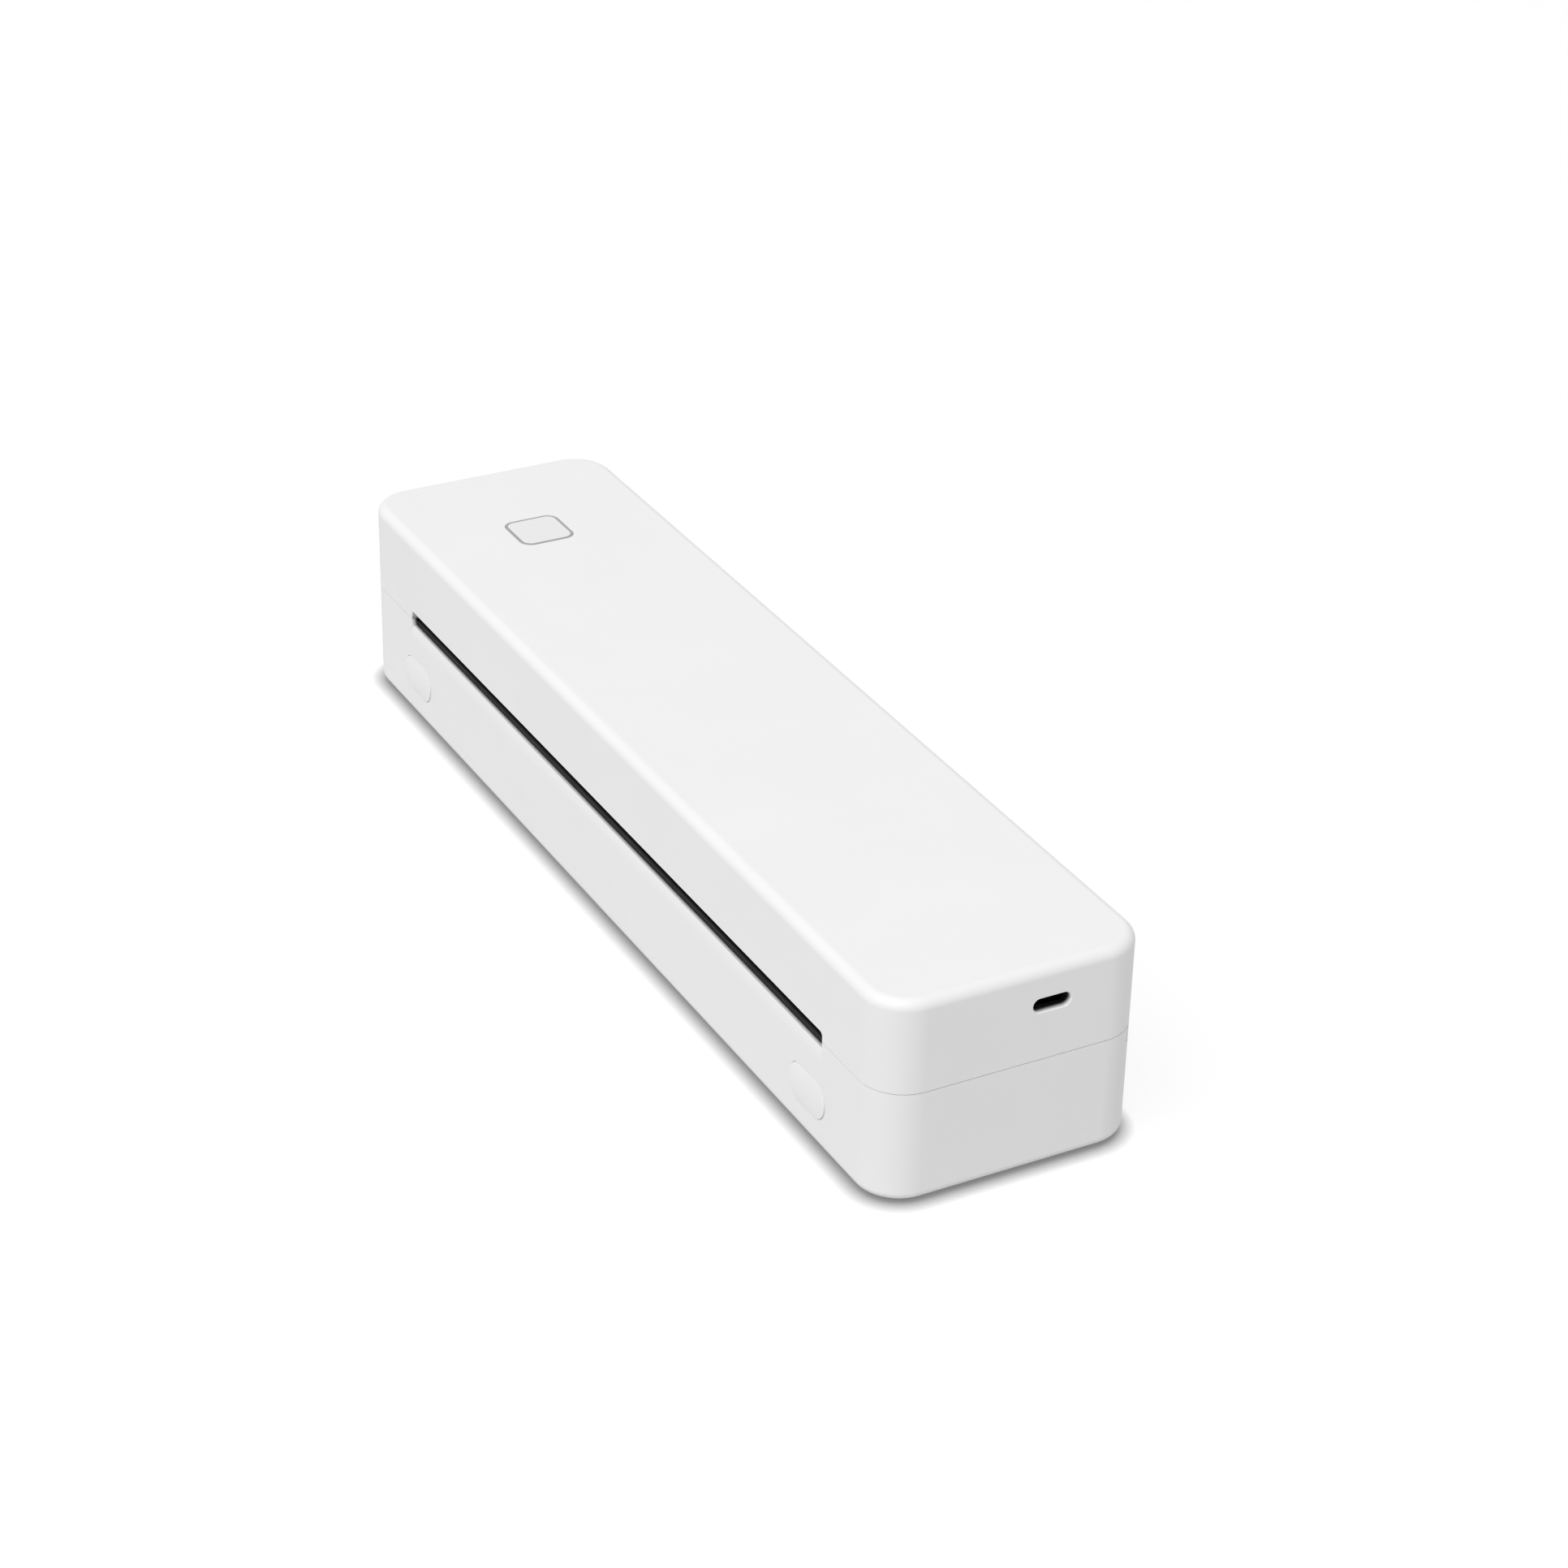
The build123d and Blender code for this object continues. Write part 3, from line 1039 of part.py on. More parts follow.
with BuildPart() as head_ribbon:
    with BuildSketch(Plane.YZ.offset(HEAD_PLUG_X - 14)):
        with BuildLine():
            FilletPolyline((-6.4, HEAD_PLUG_TOP), (-6.4, BOARD_TOP + 1.2),
                           (-0.8, BOARD_TOP + 1.2), radius=3)
        trace(line_width=0.25)
    extrude(amount=28)
save(head_ribbon.part, "head_ribbon")
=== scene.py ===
# %% [markdown]
# # Dressing a portable thermal printer
# The printer's shapes come from a finished CAD model, in which every piece is a node that already moves
# with its body. This lesson gives those pieces their finishes, softens the edges that the eye sees, and
# makes the small repeated things, such as screws, springs and teeth, with Geometry Nodes. Everything is in
# metres, X runs along the case, Y from the front face to the back, and Z is up.

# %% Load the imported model
import json
from math import cos, pi, radians, sin

import bmesh
import bpy
from mathutils import Matrix, Vector


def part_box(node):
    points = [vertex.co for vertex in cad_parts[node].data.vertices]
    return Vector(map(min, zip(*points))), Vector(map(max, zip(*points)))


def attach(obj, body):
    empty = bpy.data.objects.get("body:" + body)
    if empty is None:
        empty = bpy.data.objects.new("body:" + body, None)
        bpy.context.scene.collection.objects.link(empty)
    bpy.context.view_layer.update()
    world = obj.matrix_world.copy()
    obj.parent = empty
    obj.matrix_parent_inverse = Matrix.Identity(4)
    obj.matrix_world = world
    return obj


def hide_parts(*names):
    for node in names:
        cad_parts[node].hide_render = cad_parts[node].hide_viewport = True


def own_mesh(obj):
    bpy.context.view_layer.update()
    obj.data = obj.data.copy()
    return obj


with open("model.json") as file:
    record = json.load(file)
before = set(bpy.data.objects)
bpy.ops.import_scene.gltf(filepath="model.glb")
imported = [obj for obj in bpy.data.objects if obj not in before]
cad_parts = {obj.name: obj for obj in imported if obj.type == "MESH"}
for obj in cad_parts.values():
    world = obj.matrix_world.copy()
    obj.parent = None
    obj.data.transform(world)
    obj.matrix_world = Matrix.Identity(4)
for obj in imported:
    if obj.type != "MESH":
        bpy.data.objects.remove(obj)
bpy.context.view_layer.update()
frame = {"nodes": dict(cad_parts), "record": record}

nodes = frame["nodes"]
slot_of = {part["node"]: part["material_slot"] for part in frame["record"]["subparts"]}
body_of = {name: body for body, names in frame["record"]["behaviour"]["bodies"].items() for name in names}
MM = 0.001

# %% [markdown]
# ## The camera
# A photograph's perspective is part of its likeness. Here the near end of the case looks much larger than the
# far end, because the camera stood less than a metre away, so the camera is placed there rather than far off
# with a longer lens. Its three directions are written out: to the right of the picture, down it and into it.

# %% Put the camera where the photograph was taken
camera = bpy.data.objects.new("camera", bpy.data.cameras.new("camera"))
bpy.context.scene.collection.objects.link(camera)
camera.data.sensor_width = 36
camera.data.lens = 87.4057
picture_right = Vector((0.46993577, 0.88243974, 0.02145879))
picture_down = Vector((0.44157248, -0.21396682, -0.87133917))
into_picture = Vector((-0.76431284, 0.41894905, -0.49021177))
turned_to_view = Matrix((picture_right, -picture_down, -into_picture)).transposed().to_4x4()
camera.matrix_world = Matrix.Translation((0.6776669, -0.3542723, 0.4559694)) @ turned_to_view
camera.data.clip_start = 0.01
bpy.context.scene.camera = camera
bpy.context.scene.view_settings.view_transform = "Standard"
print("camera is", round(camera.location.length, 3), "m from the middle of the case")

# %% [markdown]
# ## The studio
# A white object on a white floor is drawn by its shading alone, so the light has to fall differently on the
# top, the front and the end. One broad lamp stands far off above the near corner. It gives the top most of
# its light, the front less and the end least, and the sky fills in the rest. Being far off, it also lights the
# floor evenly. The floor is white paper: the camera and reflections see mostly an even glow that it gives off
# to them alone, so the long cast shadow is faint. A painted shadow dims that glow where the case shuts out the
# open sky, within a few millimetres of its foot, and down to about a quarter right under its edge. That
# painted shadow stands for the soft dark line that a case standing on paper has. Light that the floor sends
# back on the object comes from its plain grey reflection alone.

# %% Make the floor, the sky and the lamp
SKY_LIGHT = 0.48
FLOOR_BOUNCE = 0.668
FLOOR_GLOW = 0.88
FLOOR_SHADOWED = 0.13
# The painted shadow in the floor's glow: how far from the case it reaches, and how dark it gets at the foot.
PAINTED_SHADOW_REACH = 3.8 * MM
PAINTED_SHADOW_DEEPEST = 0.22


def seen_plainly(tree):
    """Gives 1 for rays that show the background, straight or in a reflection, and 0 for rays that light things."""
    rays = tree.nodes.new("ShaderNodeLightPath")
    glossy = tree.nodes.new("ShaderNodeMath")
    glossy.operation = "MAXIMUM"
    tree.links.new(rays.outputs["Is Camera Ray"], glossy.inputs[0])
    tree.links.new(rays.outputs["Is Glossy Ray"], glossy.inputs[1])
    clear = tree.nodes.new("ShaderNodeMath")
    clear.operation = "MAXIMUM"
    tree.links.new(glossy.outputs[0], clear.inputs[0])
    tree.links.new(rays.outputs["Is Transmission Ray"], clear.inputs[1])
    return clear.outputs[0]


def scaled(tree, seen, low, high):
    """Gives low where seen is 0 and high where it is 1."""
    span = tree.nodes.new("ShaderNodeMapRange")
    span.inputs["To Min"].default_value = low
    span.inputs["To Max"].default_value = high
    tree.links.new(seen, span.inputs["Value"])
    return span.outputs["Result"]


def lamp(name, heading, distance, size, power):
    """Adds a square lamp that shines on the case from far off in the given heading."""
    light = bpy.data.objects.new(name, bpy.data.lights.new(name, "AREA"))
    bpy.context.scene.collection.objects.link(light)
    light.data.size = size
    light.data.energy = power
    heading = Vector(heading).normalized()
    light.location = heading * distance
    light.rotation_euler = heading.to_track_quat("Z", "Y").to_euler()
    return light


sky = bpy.data.worlds.new("sky")
bpy.context.scene.world = sky
sky.use_nodes = True
background = sky.node_tree.nodes["Background"]
background.inputs["Color"].default_value = (1, 1, 1, 1)
sky.node_tree.links.new(scaled(sky.node_tree, seen_plainly(sky.node_tree), SKY_LIGHT, 1.0),
                        background.inputs["Strength"])

floor_mesh = bpy.data.meshes.new("floor")
floor_mesh.from_pydata([(-4, -4, 0), (4, -4, 0), (4, 4, 0), (-4, 4, 0)], [], [(0, 1, 2, 3)])
floor = bpy.data.objects.new("floor", floor_mesh)
bpy.context.scene.collection.objects.link(floor)

paper_white = bpy.data.materials.new("floor_white")
paper_white.use_nodes = True
floor_tree = paper_white.node_tree
floor_tree.nodes.clear()
floor_out = floor_tree.nodes.new("ShaderNodeOutputMaterial")
floor_seen = seen_plainly(floor_tree)
floor_matt = floor_tree.nodes.new("ShaderNodeBsdfDiffuse")
floor_tree.links.new(scaled(floor_tree, floor_seen, FLOOR_BOUNCE, FLOOR_SHADOWED), floor_matt.inputs["Color"])
# Painted shadow: ambient occlusion near the case's foot darkens the floor's glow, but never below the deepest value.
open_sky = floor_tree.nodes.new("ShaderNodeAmbientOcclusion")
open_sky.samples = 8
open_sky.inputs["Distance"].default_value = PAINTED_SHADOW_REACH
painted_foot_shadow = floor_tree.nodes.new("ShaderNodeMath")
painted_foot_shadow.operation = "POWER"
painted_foot_shadow.inputs[1].default_value = 1.5
floor_tree.links.new(open_sky.outputs["AO"], painted_foot_shadow.inputs[0])
painted_shadow_limited = floor_tree.nodes.new("ShaderNodeMath")
painted_shadow_limited.operation = "MAXIMUM"
painted_shadow_limited.inputs[1].default_value = PAINTED_SHADOW_DEEPEST
floor_tree.links.new(painted_foot_shadow.outputs[0], painted_shadow_limited.inputs[0])
glow_with_painted_shadow = floor_tree.nodes.new("ShaderNodeMath")
glow_with_painted_shadow.operation = "MULTIPLY"
floor_tree.links.new(painted_shadow_limited.outputs[0], glow_with_painted_shadow.inputs[0])
floor_tree.links.new(scaled(floor_tree, floor_seen, 0.0, FLOOR_GLOW), glow_with_painted_shadow.inputs[1])
floor_glow = floor_tree.nodes.new("ShaderNodeEmission")
floor_tree.links.new(glow_with_painted_shadow.outputs[0], floor_glow.inputs["Strength"])
floor_whole = floor_tree.nodes.new("ShaderNodeAddShader")
floor_tree.links.new(floor_matt.outputs[0], floor_whole.inputs[0])
floor_tree.links.new(floor_glow.outputs[0], floor_whole.inputs[1])
floor_tree.links.new(floor_whole.outputs[0], floor_out.inputs["Surface"])
paper_white.cycles.emission_sampling = "NONE"
floor_mesh.materials.append(paper_white)

key = lamp("key", (0.252, -0.465, 0.849), 5.0, 3.0, 168)
print("lamp:", key.name, "at", [round(value, 2) for value in key.location])

# %% [markdown]
# ## Finishes
# Every finish is a small node tree on a Principled shader. A pattern is placed by the piece's own coordinates
# in metres, so a grain of a fifth of a millimetre stays that size on every piece. Values that are the same
# all over are set on the shader's own sockets, and only what really varies is driven by a texture.

# %% Helpers for finishes
made_finishes = {}


def start_finish(name):
    """Makes an empty finish with a Principled shader, and gives its tree and shader."""
    finish = bpy.data.materials.new(name)
    finish.use_nodes = True
    tree = finish.node_tree
    tree.nodes.clear()
    out = tree.nodes.new("ShaderNodeOutputMaterial")
    shader = tree.nodes.new("ShaderNodeBsdfPrincipled")
    tree.links.new(shader.outputs[0], out.inputs["Surface"])
    made_finishes[name] = finish
    return tree, shader


def own_place(tree, stretch=(1, 1, 1)):
    """Gives the piece's own coordinates in metres, stretched along its axes."""
    where = tree.nodes.new("ShaderNodeTexCoord")
    mapping = tree.nodes.new("ShaderNodeMapping")
    mapping.inputs["Scale"].default_value = stretch
    tree.links.new(where.outputs["Object"], mapping.inputs["Vector"])
    return mapping.outputs["Vector"]


def mottle(tree, place, size, detail=2.0):
    """Gives a soft random pattern whose blots are about the given size in metres."""
    texture = tree.nodes.new("ShaderNodeTexNoise")
    texture.inputs["Scale"].default_value = 1 / size
    texture.inputs["Detail"].default_value = detail
    tree.links.new(place, texture.inputs["Vector"])
    return texture.outputs["Fac"]


def cells(tree, place, size, distance="EUCLIDEAN"):
    """Gives a pattern of cells of the given size in metres, each with its own grey."""
    texture = tree.nodes.new("ShaderNodeTexVoronoi")
    texture.distance = distance
    texture.inputs["Scale"].default_value = 1 / size
    tree.links.new(place, texture.inputs["Vector"])
    return texture


def between(tree, pattern, low, high, start=0.3, end=0.7):
    """Turns a pattern into a value that runs from low to high."""
    span = tree.nodes.new("ShaderNodeMapRange")
    span.inputs["From Min"].default_value = start
    span.inputs["From Max"].default_value = end
    span.inputs["To Min"].default_value = low
    span.inputs["To Max"].default_value = high
    tree.links.new(pattern, span.inputs["Value"])
    return span.outputs["Result"]


def two_tone(tree, shader, pattern, first, second, start=0.3, end=0.7):
    """Colours the shader with two colours that a pattern mixes."""
    ramp = tree.nodes.new("ShaderNodeValToRGB")
    ramp.color_ramp.elements[0].position = start
    ramp.color_ramp.elements[0].color = (*first, 1)
    ramp.color_ramp.elements[1].position = end
    ramp.color_ramp.elements[1].color = (*second, 1)
    tree.links.new(pattern, ramp.inputs["Fac"])
    tree.links.new(ramp.outputs["Color"], shader.inputs["Base Color"])


def relief(tree, shader, pattern, height):
    """Raises the surface by a pattern, with its full height in metres."""
    bump = tree.nodes.new("ShaderNodeBump")
    bump.inputs["Distance"].default_value = height
    tree.links.new(pattern, bump.inputs["Height"])
    tree.links.new(bump.outputs["Normal"], shader.inputs["Normal"])


def shaded(colour, share):
    """Gives a colour darkened to a share of itself."""
    return tuple(share * part for part in colour)


# %% [markdown]
# ### Moulded plastics
# The white case is a satin moulding: the steel mould is etched with a grain of about a fifth of a millimetre,
# which spreads highlights and hides scratches. The grain is a bump of a few thousandths of a millimetre, and
# a much wider pattern makes the gloss and the tone drift a little, as they do along any long moulding.

# %% Moulded plastics and rubbers
def moulded(name, colour, grain, height, gloss, drift=0.985, shine=0.5):
    """A plastic with a mould's grain: the grain's size and height in metres, and the range of its roughness."""
    tree, shader = start_finish(name)
    shader.inputs["Specular IOR Level"].default_value = shine
    place = own_place(tree)
    two_tone(tree, shader, mottle(tree, place, 0.03), shaded(colour, drift), colour)
    tree.links.new(between(tree, mottle(tree, place, 0.006), *gloss), shader.inputs["Roughness"])
    relief(tree, shader, mottle(tree, place, grain, 3.0), height)


moulded("white_case", (0.875, 0.875, 0.875), 0.0002, 0.000004, (0.46, 0.54))
moulded("button_white", (0.825, 0.825, 0.825), 0.0002, 0.000004, (0.46, 0.54))
moulded("button_ring", (0.38, 0.38, 0.38), 0.0003, 0.000004, (0.6, 0.7))
moulded("black_moulding", (0.011, 0.011, 0.012), 0.00035, 0.000012, (0.55, 0.7), 0.8, 0.2)
moulded("foot_rubber", (0.27, 0.27, 0.275), 0.0005, 0.00001, (0.72, 0.85), 0.9)
moulded("chip_black", (0.018, 0.018, 0.019), 0.00012, 0.000006, (0.5, 0.62), 0.8)
moulded("socket_white", (0.72, 0.70, 0.64), 0.0003, 0.000004, (0.38, 0.48), 0.95)
moulded("acetal", (0.80, 0.79, 0.74), 0.0004, 0.000004, (0.3, 0.4), 0.97)
moulded("gear_white", (0.78, 0.78, 0.74), 0.0004, 0.000004, (0.28, 0.38), 0.96)
moulded("epoxy", (0.012, 0.012, 0.012), 0.0015, 0.00003, (0.12, 0.3), 0.7)
moulded("foam", (0.02, 0.02, 0.02), 0.0006, 0.00012, (0.9, 0.98), 0.5)
moulded("wire_red", (0.50, 0.03, 0.025), 0.002, 0.000004, (0.25, 0.35), 0.85)
moulded("wire_grey", (0.30, 0.30, 0.31), 0.002, 0.000004, (0.25, 0.35), 0.85)
print("plastics and rubbers:", len(made_finishes))

# %% [markdown]
# ### Metals
# A metal's looks come from how it was worked. Drawn rods and extrusions have lines along their length, ground
# and turned pieces have lines around, and zinc plating has crystals, each with its own tone. So a metal is
# given a stretch that draws its pattern out along one axis, and how much its roughness and tone vary.

# %% Metals
ROUND_THE_PIECE = (1, 0.03, 0.03)
ALONG_THE_CASE = (0.02, 1, 1)


def worked_metal(name, colour, stretch, lines, gloss, drift=0.88):
    """A metal with fine lines of the given size in metres, drawn out by the stretch."""
    tree, shader = start_finish(name)
    shader.inputs["Metallic"].default_value = 1.0
    lined = mottle(tree, own_place(tree, stretch), lines, 4.0)
    two_tone(tree, shader, lined, shaded(colour, drift), colour, 0.25, 0.75)
    tree.links.new(between(tree, lined, *gloss), shader.inputs["Roughness"])
    relief(tree, shader, lined, 0.000003)


def plated_metal(name, colour, crystal, gloss, drift=0.8):
    """A plated sheet metal whose crystals of the given size in metres each have their own tone."""
    tree, shader = start_finish(name)
    shader.inputs["Metallic"].default_value = 1.0
    place = own_place(tree)
    grey = tree.nodes.new("ShaderNodeRGBToBW")
    tree.links.new(cells(tree, place, crystal).outputs["Color"], grey.inputs[0])
    two_tone(tree, shader, grey.outputs[0], shaded(colour, drift), colour, 0.2, 0.8)
    tree.links.new(between(tree, grey.outputs[0], *gloss), shader.inputs["Roughness"])
    relief(tree, shader, mottle(tree, place, crystal / 4), 0.000004)


worked_metal("steel", (0.60, 0.60, 0.61), ALONG_THE_CASE, 0.0003, (0.2, 0.34))
worked_metal("aluminium", (0.76, 0.77, 0.78), ALONG_THE_CASE, 0.0005, (0.3, 0.44))
worked_metal("brass", (0.72, 0.52, 0.22), ROUND_THE_PIECE, 0.0003, (0.22, 0.34))
worked_metal("motor_can", (0.52, 0.52, 0.53), ROUND_THE_PIECE, 0.0006, (0.26, 0.38))
worked_metal("can_aluminium", (0.70, 0.70, 0.71), (1, 1, 0.05), 0.0004, (0.3, 0.4))
worked_metal("blackened_screw", (0.05, 0.05, 0.055), ROUND_THE_PIECE, 0.0004, (0.3, 0.45), 0.6)
plated_metal("zinc", (0.66, 0.68, 0.71), 0.0025, (0.28, 0.42))
plated_metal("black_nickel", (0.035, 0.035, 0.04), 0.0015, (0.35, 0.5), 0.7)
print("finishes so far:", len(made_finishes))

# %% [markdown]
# ### Finishes with a pattern of their own
# A platen's rubber is ground to size, so it is dull with faint lines around. The print head's ceramic bar is
# pale alumina under a glaze, with its fine leads across; the heater line along it is not drawn. A circuit board is
# green lacquer over copper, and the tracks show through it as lighter, slightly raised strips. The battery's
# shrink film is glossy with shallow wrinkles, and the flat ribbon shows a conductor every millimetre.

# %% Rubber, ceramic, boards, film and ribbon
def stripes(tree, axis, pitch, share):
    """Gives 1 on evenly spaced stripes across an axis and 0 between them."""
    parts = tree.nodes.new("ShaderNodeSeparateXYZ")
    tree.links.new(own_place(tree), parts.inputs[0])
    step = tree.nodes.new("ShaderNodeMath")
    step.operation = "MULTIPLY"
    step.inputs[1].default_value = 1 / pitch
    tree.links.new(parts.outputs[axis], step.inputs[0])
    phase = tree.nodes.new("ShaderNodeMath")
    phase.operation = "FRACT"
    tree.links.new(step.outputs[0], phase.inputs[0])
    chosen = tree.nodes.new("ShaderNodeMath")
    chosen.operation = "LESS_THAN"
    chosen.inputs[1].default_value = share
    tree.links.new(phase.outputs[0], chosen.inputs[0])
    return chosen.outputs[0]


def platen_rubber():
    tree, shader = start_finish("platen_rubber")
    ground = mottle(tree, own_place(tree, ROUND_THE_PIECE), 0.00025, 4.0)
    two_tone(tree, shader, ground, (0.020, 0.020, 0.021), (0.045, 0.045, 0.046))
    tree.links.new(between(tree, ground, 0.55, 0.7), shader.inputs["Roughness"])
    relief(tree, shader, ground, 0.000008)


def ceramic():
    tree, shader = start_finish("ceramic")
    leads = stripes(tree, 0, 0.00025, 0.5)
    two_tone(tree, shader, leads, (0.62, 0.60, 0.55), (0.50, 0.42, 0.30), 0.4, 0.6)
    tree.links.new(between(tree, mottle(tree, own_place(tree), 0.004), 0.08, 0.18), shader.inputs["Roughness"])
    relief(tree, shader, leads, 0.000002)


def board_green():
    tree, shader = start_finish("board_green")
    tracks = cells(tree, own_place(tree, (1, 1, 0)), 0.0035, "MANHATTAN").outputs["Distance"]
    two_tone(tree, shader, tracks, (0.010, 0.105, 0.040), (0.022, 0.185, 0.070), 0.38, 0.42)
    tree.links.new(between(tree, mottle(tree, own_place(tree), 0.005), 0.22, 0.34), shader.inputs["Roughness"])
    relief(tree, shader, between(tree, tracks, 0, 1, 0.38, 0.42), 0.00003)


def battery_wrap():
    tree, shader = start_finish("battery_wrap")
    place = own_place(tree, (0.35, 1, 1))
    two_tone(tree, shader, mottle(tree, place, 0.02), (0.020, 0.075, 0.19), (0.026, 0.09, 0.22))
    tree.links.new(between(tree, mottle(tree, place, 0.004), 0.14, 0.26), shader.inputs["Roughness"])
    relief(tree, shader, mottle(tree, place, 0.003, 3.0), 0.00012)


def ribbon_white():
    tree, shader = start_finish("ribbon_white")
    conductors = stripes(tree, 0, 0.001, 0.6)
    two_tone(tree, shader, conductors, (0.74, 0.76, 0.78), (0.55, 0.56, 0.58), 0.4, 0.6)
    tree.links.new(between(tree, mottle(tree, own_place(tree), 0.004), 0.25, 0.35), shader.inputs["Roughness"])
    relief(tree, shader, conductors, 0.00003)


for make in (platen_rubber, ceramic, board_green, battery_wrap, ribbon_white):
    make()
print("finishes in all:", len(made_finishes))

# %% Give every carried node the finish that its slot names
for name, piece in nodes.items():
    piece.data.materials[0] = made_finishes[slot_of[name]]

# %% [markdown]
# ## Softened edges
# CAD meshes arrive as loose triangles. A copy is merged, its flat faces are joined up again, and its sharp
# edges get a small rounding, because no moulding leaves its mould, and no metal leaves its bench, with an
# edge that is sharp to the hand. Weighted normals keep the flat faces flat right up to the roundings. On the
# two halves of the case only the edges near the outer skin are rounded: nobody sees the inner ones.

# %% Helpers that copy and soften a CAD node
SHARP = radians(28)
WELD = 0.000002


def copied(node):
    """Merges a copy of a CAD node's triangles and joins its flat faces up again."""
    mesh = nodes[node].data.copy()
    mesh.name = node + "_finished"
    if "custom_normal" in mesh.attributes:
        mesh.attributes.remove(mesh.attributes["custom_normal"])
    shape = bmesh.new()
    shape.from_mesh(mesh)
    bmesh.ops.remove_doubles(shape, verts=shape.verts, dist=WELD)
    bmesh.ops.dissolve_limit(shape, angle_limit=radians(0.2), verts=shape.verts, edges=shape.edges)
    shape.to_mesh(mesh)
    shape.free()
    mesh.shade_smooth()
    mesh.set_sharp_from_angle(angle=SHARP)
    piece = bpy.data.objects.new(mesh.name, mesh)
    bpy.context.scene.collection.objects.link(piece)
    return piece


def soften(piece, width, steps=2, chosen=None):
    """Rounds a piece's sharp edges, or only those that the test chooses by their two ends."""
    if chosen:
        piece.data.attributes.new("bevel_weight_edge", "FLOAT", "EDGE")
        shape = bmesh.new()
        shape.from_mesh(piece.data)
        layer = shape.edges.layers.float["bevel_weight_edge"]
        for edge in shape.edges:
            edge[layer] = float(not edge.smooth and all(chosen(vert.co) for vert in edge.verts))
        shape.to_mesh(piece.data)
        shape.free()
    bevel = piece.modifiers.new("softened edges", "BEVEL")
    bevel.width = width
    bevel.segments = steps
    bevel.limit_method = "WEIGHT" if chosen else "ANGLE"
    bevel.angle_limit = SHARP
    normals = piece.modifiers.new("flat faces stay flat", "WEIGHTED_NORMAL")
    normals.weight = 80


def stand_for(piece, node, body=None):
    """Puts a piece in the place of a CAD node, on the same body and with the same finish."""
    piece.data.materials.clear()
    piece.data.materials.append(made_finishes[slot_of[node]])
    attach(piece, body or body_of[node])
    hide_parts(node)


# %% Soften the outer skin of both halves of the case
(left_x, front_y, _), (right_x, back_y, case_top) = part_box("upper_case")
CORNER = 10 * MM
SKIN = 1.3 * MM


def depth_in_case(point):
    """Gives how far a point is inside the case's outline, seen from above."""
    x = abs(point.x) - right_x + CORNER
    y = abs(point.y) - back_y + CORNER
    if x > 0 and y > 0:
        return CORNER - (x * x + y * y) ** 0.5
    return CORNER - max(x, y)


def on_skin(point):
    return depth_in_case(point) < SKIN or point.z > case_top - 0.3 * MM


for node in ("upper_case", "lower_case"):
    shell = copied(node)
    soften(shell, 0.1 * MM, 2, on_skin)
    stand_for(shell, node)
    print(shell.name, "sharp edges rounded on the skin")

# %% [markdown]
# ### Mouldings and metal parts inside
# Each other piece that keeps its CAD shape gets the rounding that its making gives it: wide on rubber and
# thick mouldings, narrow on thin sheet, tiny on gear teeth.

# %% Soften the pieces that keep their CAD shape
ROUNDING = {
    "power_button": 0.35, "release_button_left": 0.3, "release_button_right": 0.3,
    "paper_bed": 0.15, "inner_frame": 0.12, "platen_bush_left": 0.2, "platen_bush_right": 0.2,
    "platen_gear": 0.06, "idler_gear": 0.06, "compound_gear": 0.06, "motor_pinion": 0.04,
    "head_sink": 0.15, "head_ceramic": 0.06, "driver_cover": 0.12, "head_connector": 0.1,
    "spring_bar": 0.1, "drive_plate": 0.1, "motor_socket": 0.08, "button_socket": 0.1,
    "board_sockets": 0.1, "radio_can": 0.12, "power_switch": 0.08, "switch_plunger": 0.15,
    "usb_tongue": 0.06, "usb_shell": 0.05, "main_board": 0.05, "button_board": 0.05,
    "battery_pad": 0.05, "paper_sensor": 0.1, "board_chips": 0.08, "battery_pack": 0.3, "motor": 0.2,
    "motor_shaft": 0.1, "platen_shaft": 0.05, "platen_rubber": 0.3, "hinge_pins": 0.15, "head_pins": 0.15,
    "gear_axles": 0.1, "head_ribbon": 0.04,
}
for node, width in ROUNDING.items():
    piece = copied(node)
    soften(piece, width * MM)
    stand_for(piece, node)
print("softened pieces:", len(ROUNDING))

# %% [markdown]
# ### The power button's ring
# The photograph shows a grey ring round the power button, nearly a millimetre wide and too even for an open gap.
# On such printers it is a soft seal pressed round the cap, so it is made as one: two rounded squares, one
# inside the other, closed above and below. It rides on the button and stays clear of the hole. The cap is a
# shade greyer than the case, because it is moulded apart from it.

# %% Fit the ring and finish the cap
RING_OUTER, RING_OUTER_CORNER = 7.02 * MM, 2.92 * MM
RING_INNER, RING_INNER_CORNER = 6.22 * MM, 2.12 * MM
RING_LOW, RING_TOP = case_top - 0.8 * MM, case_top + 0.05 * MM


def rounded_square(half, corner, steps=10):
    """Gives the outline of a square with rounded corners, about its middle."""
    outline = []
    for quarter, (side_x, side_y) in enumerate([(1, 1), (-1, 1), (-1, -1), (1, -1)]):
        for step in range(steps + 1):
            angle = (quarter + step / steps) * pi / 2
            outline.append((side_x * (half - corner) + corner * cos(angle),
                            side_y * (half - corner) + corner * sin(angle)))
    return outline


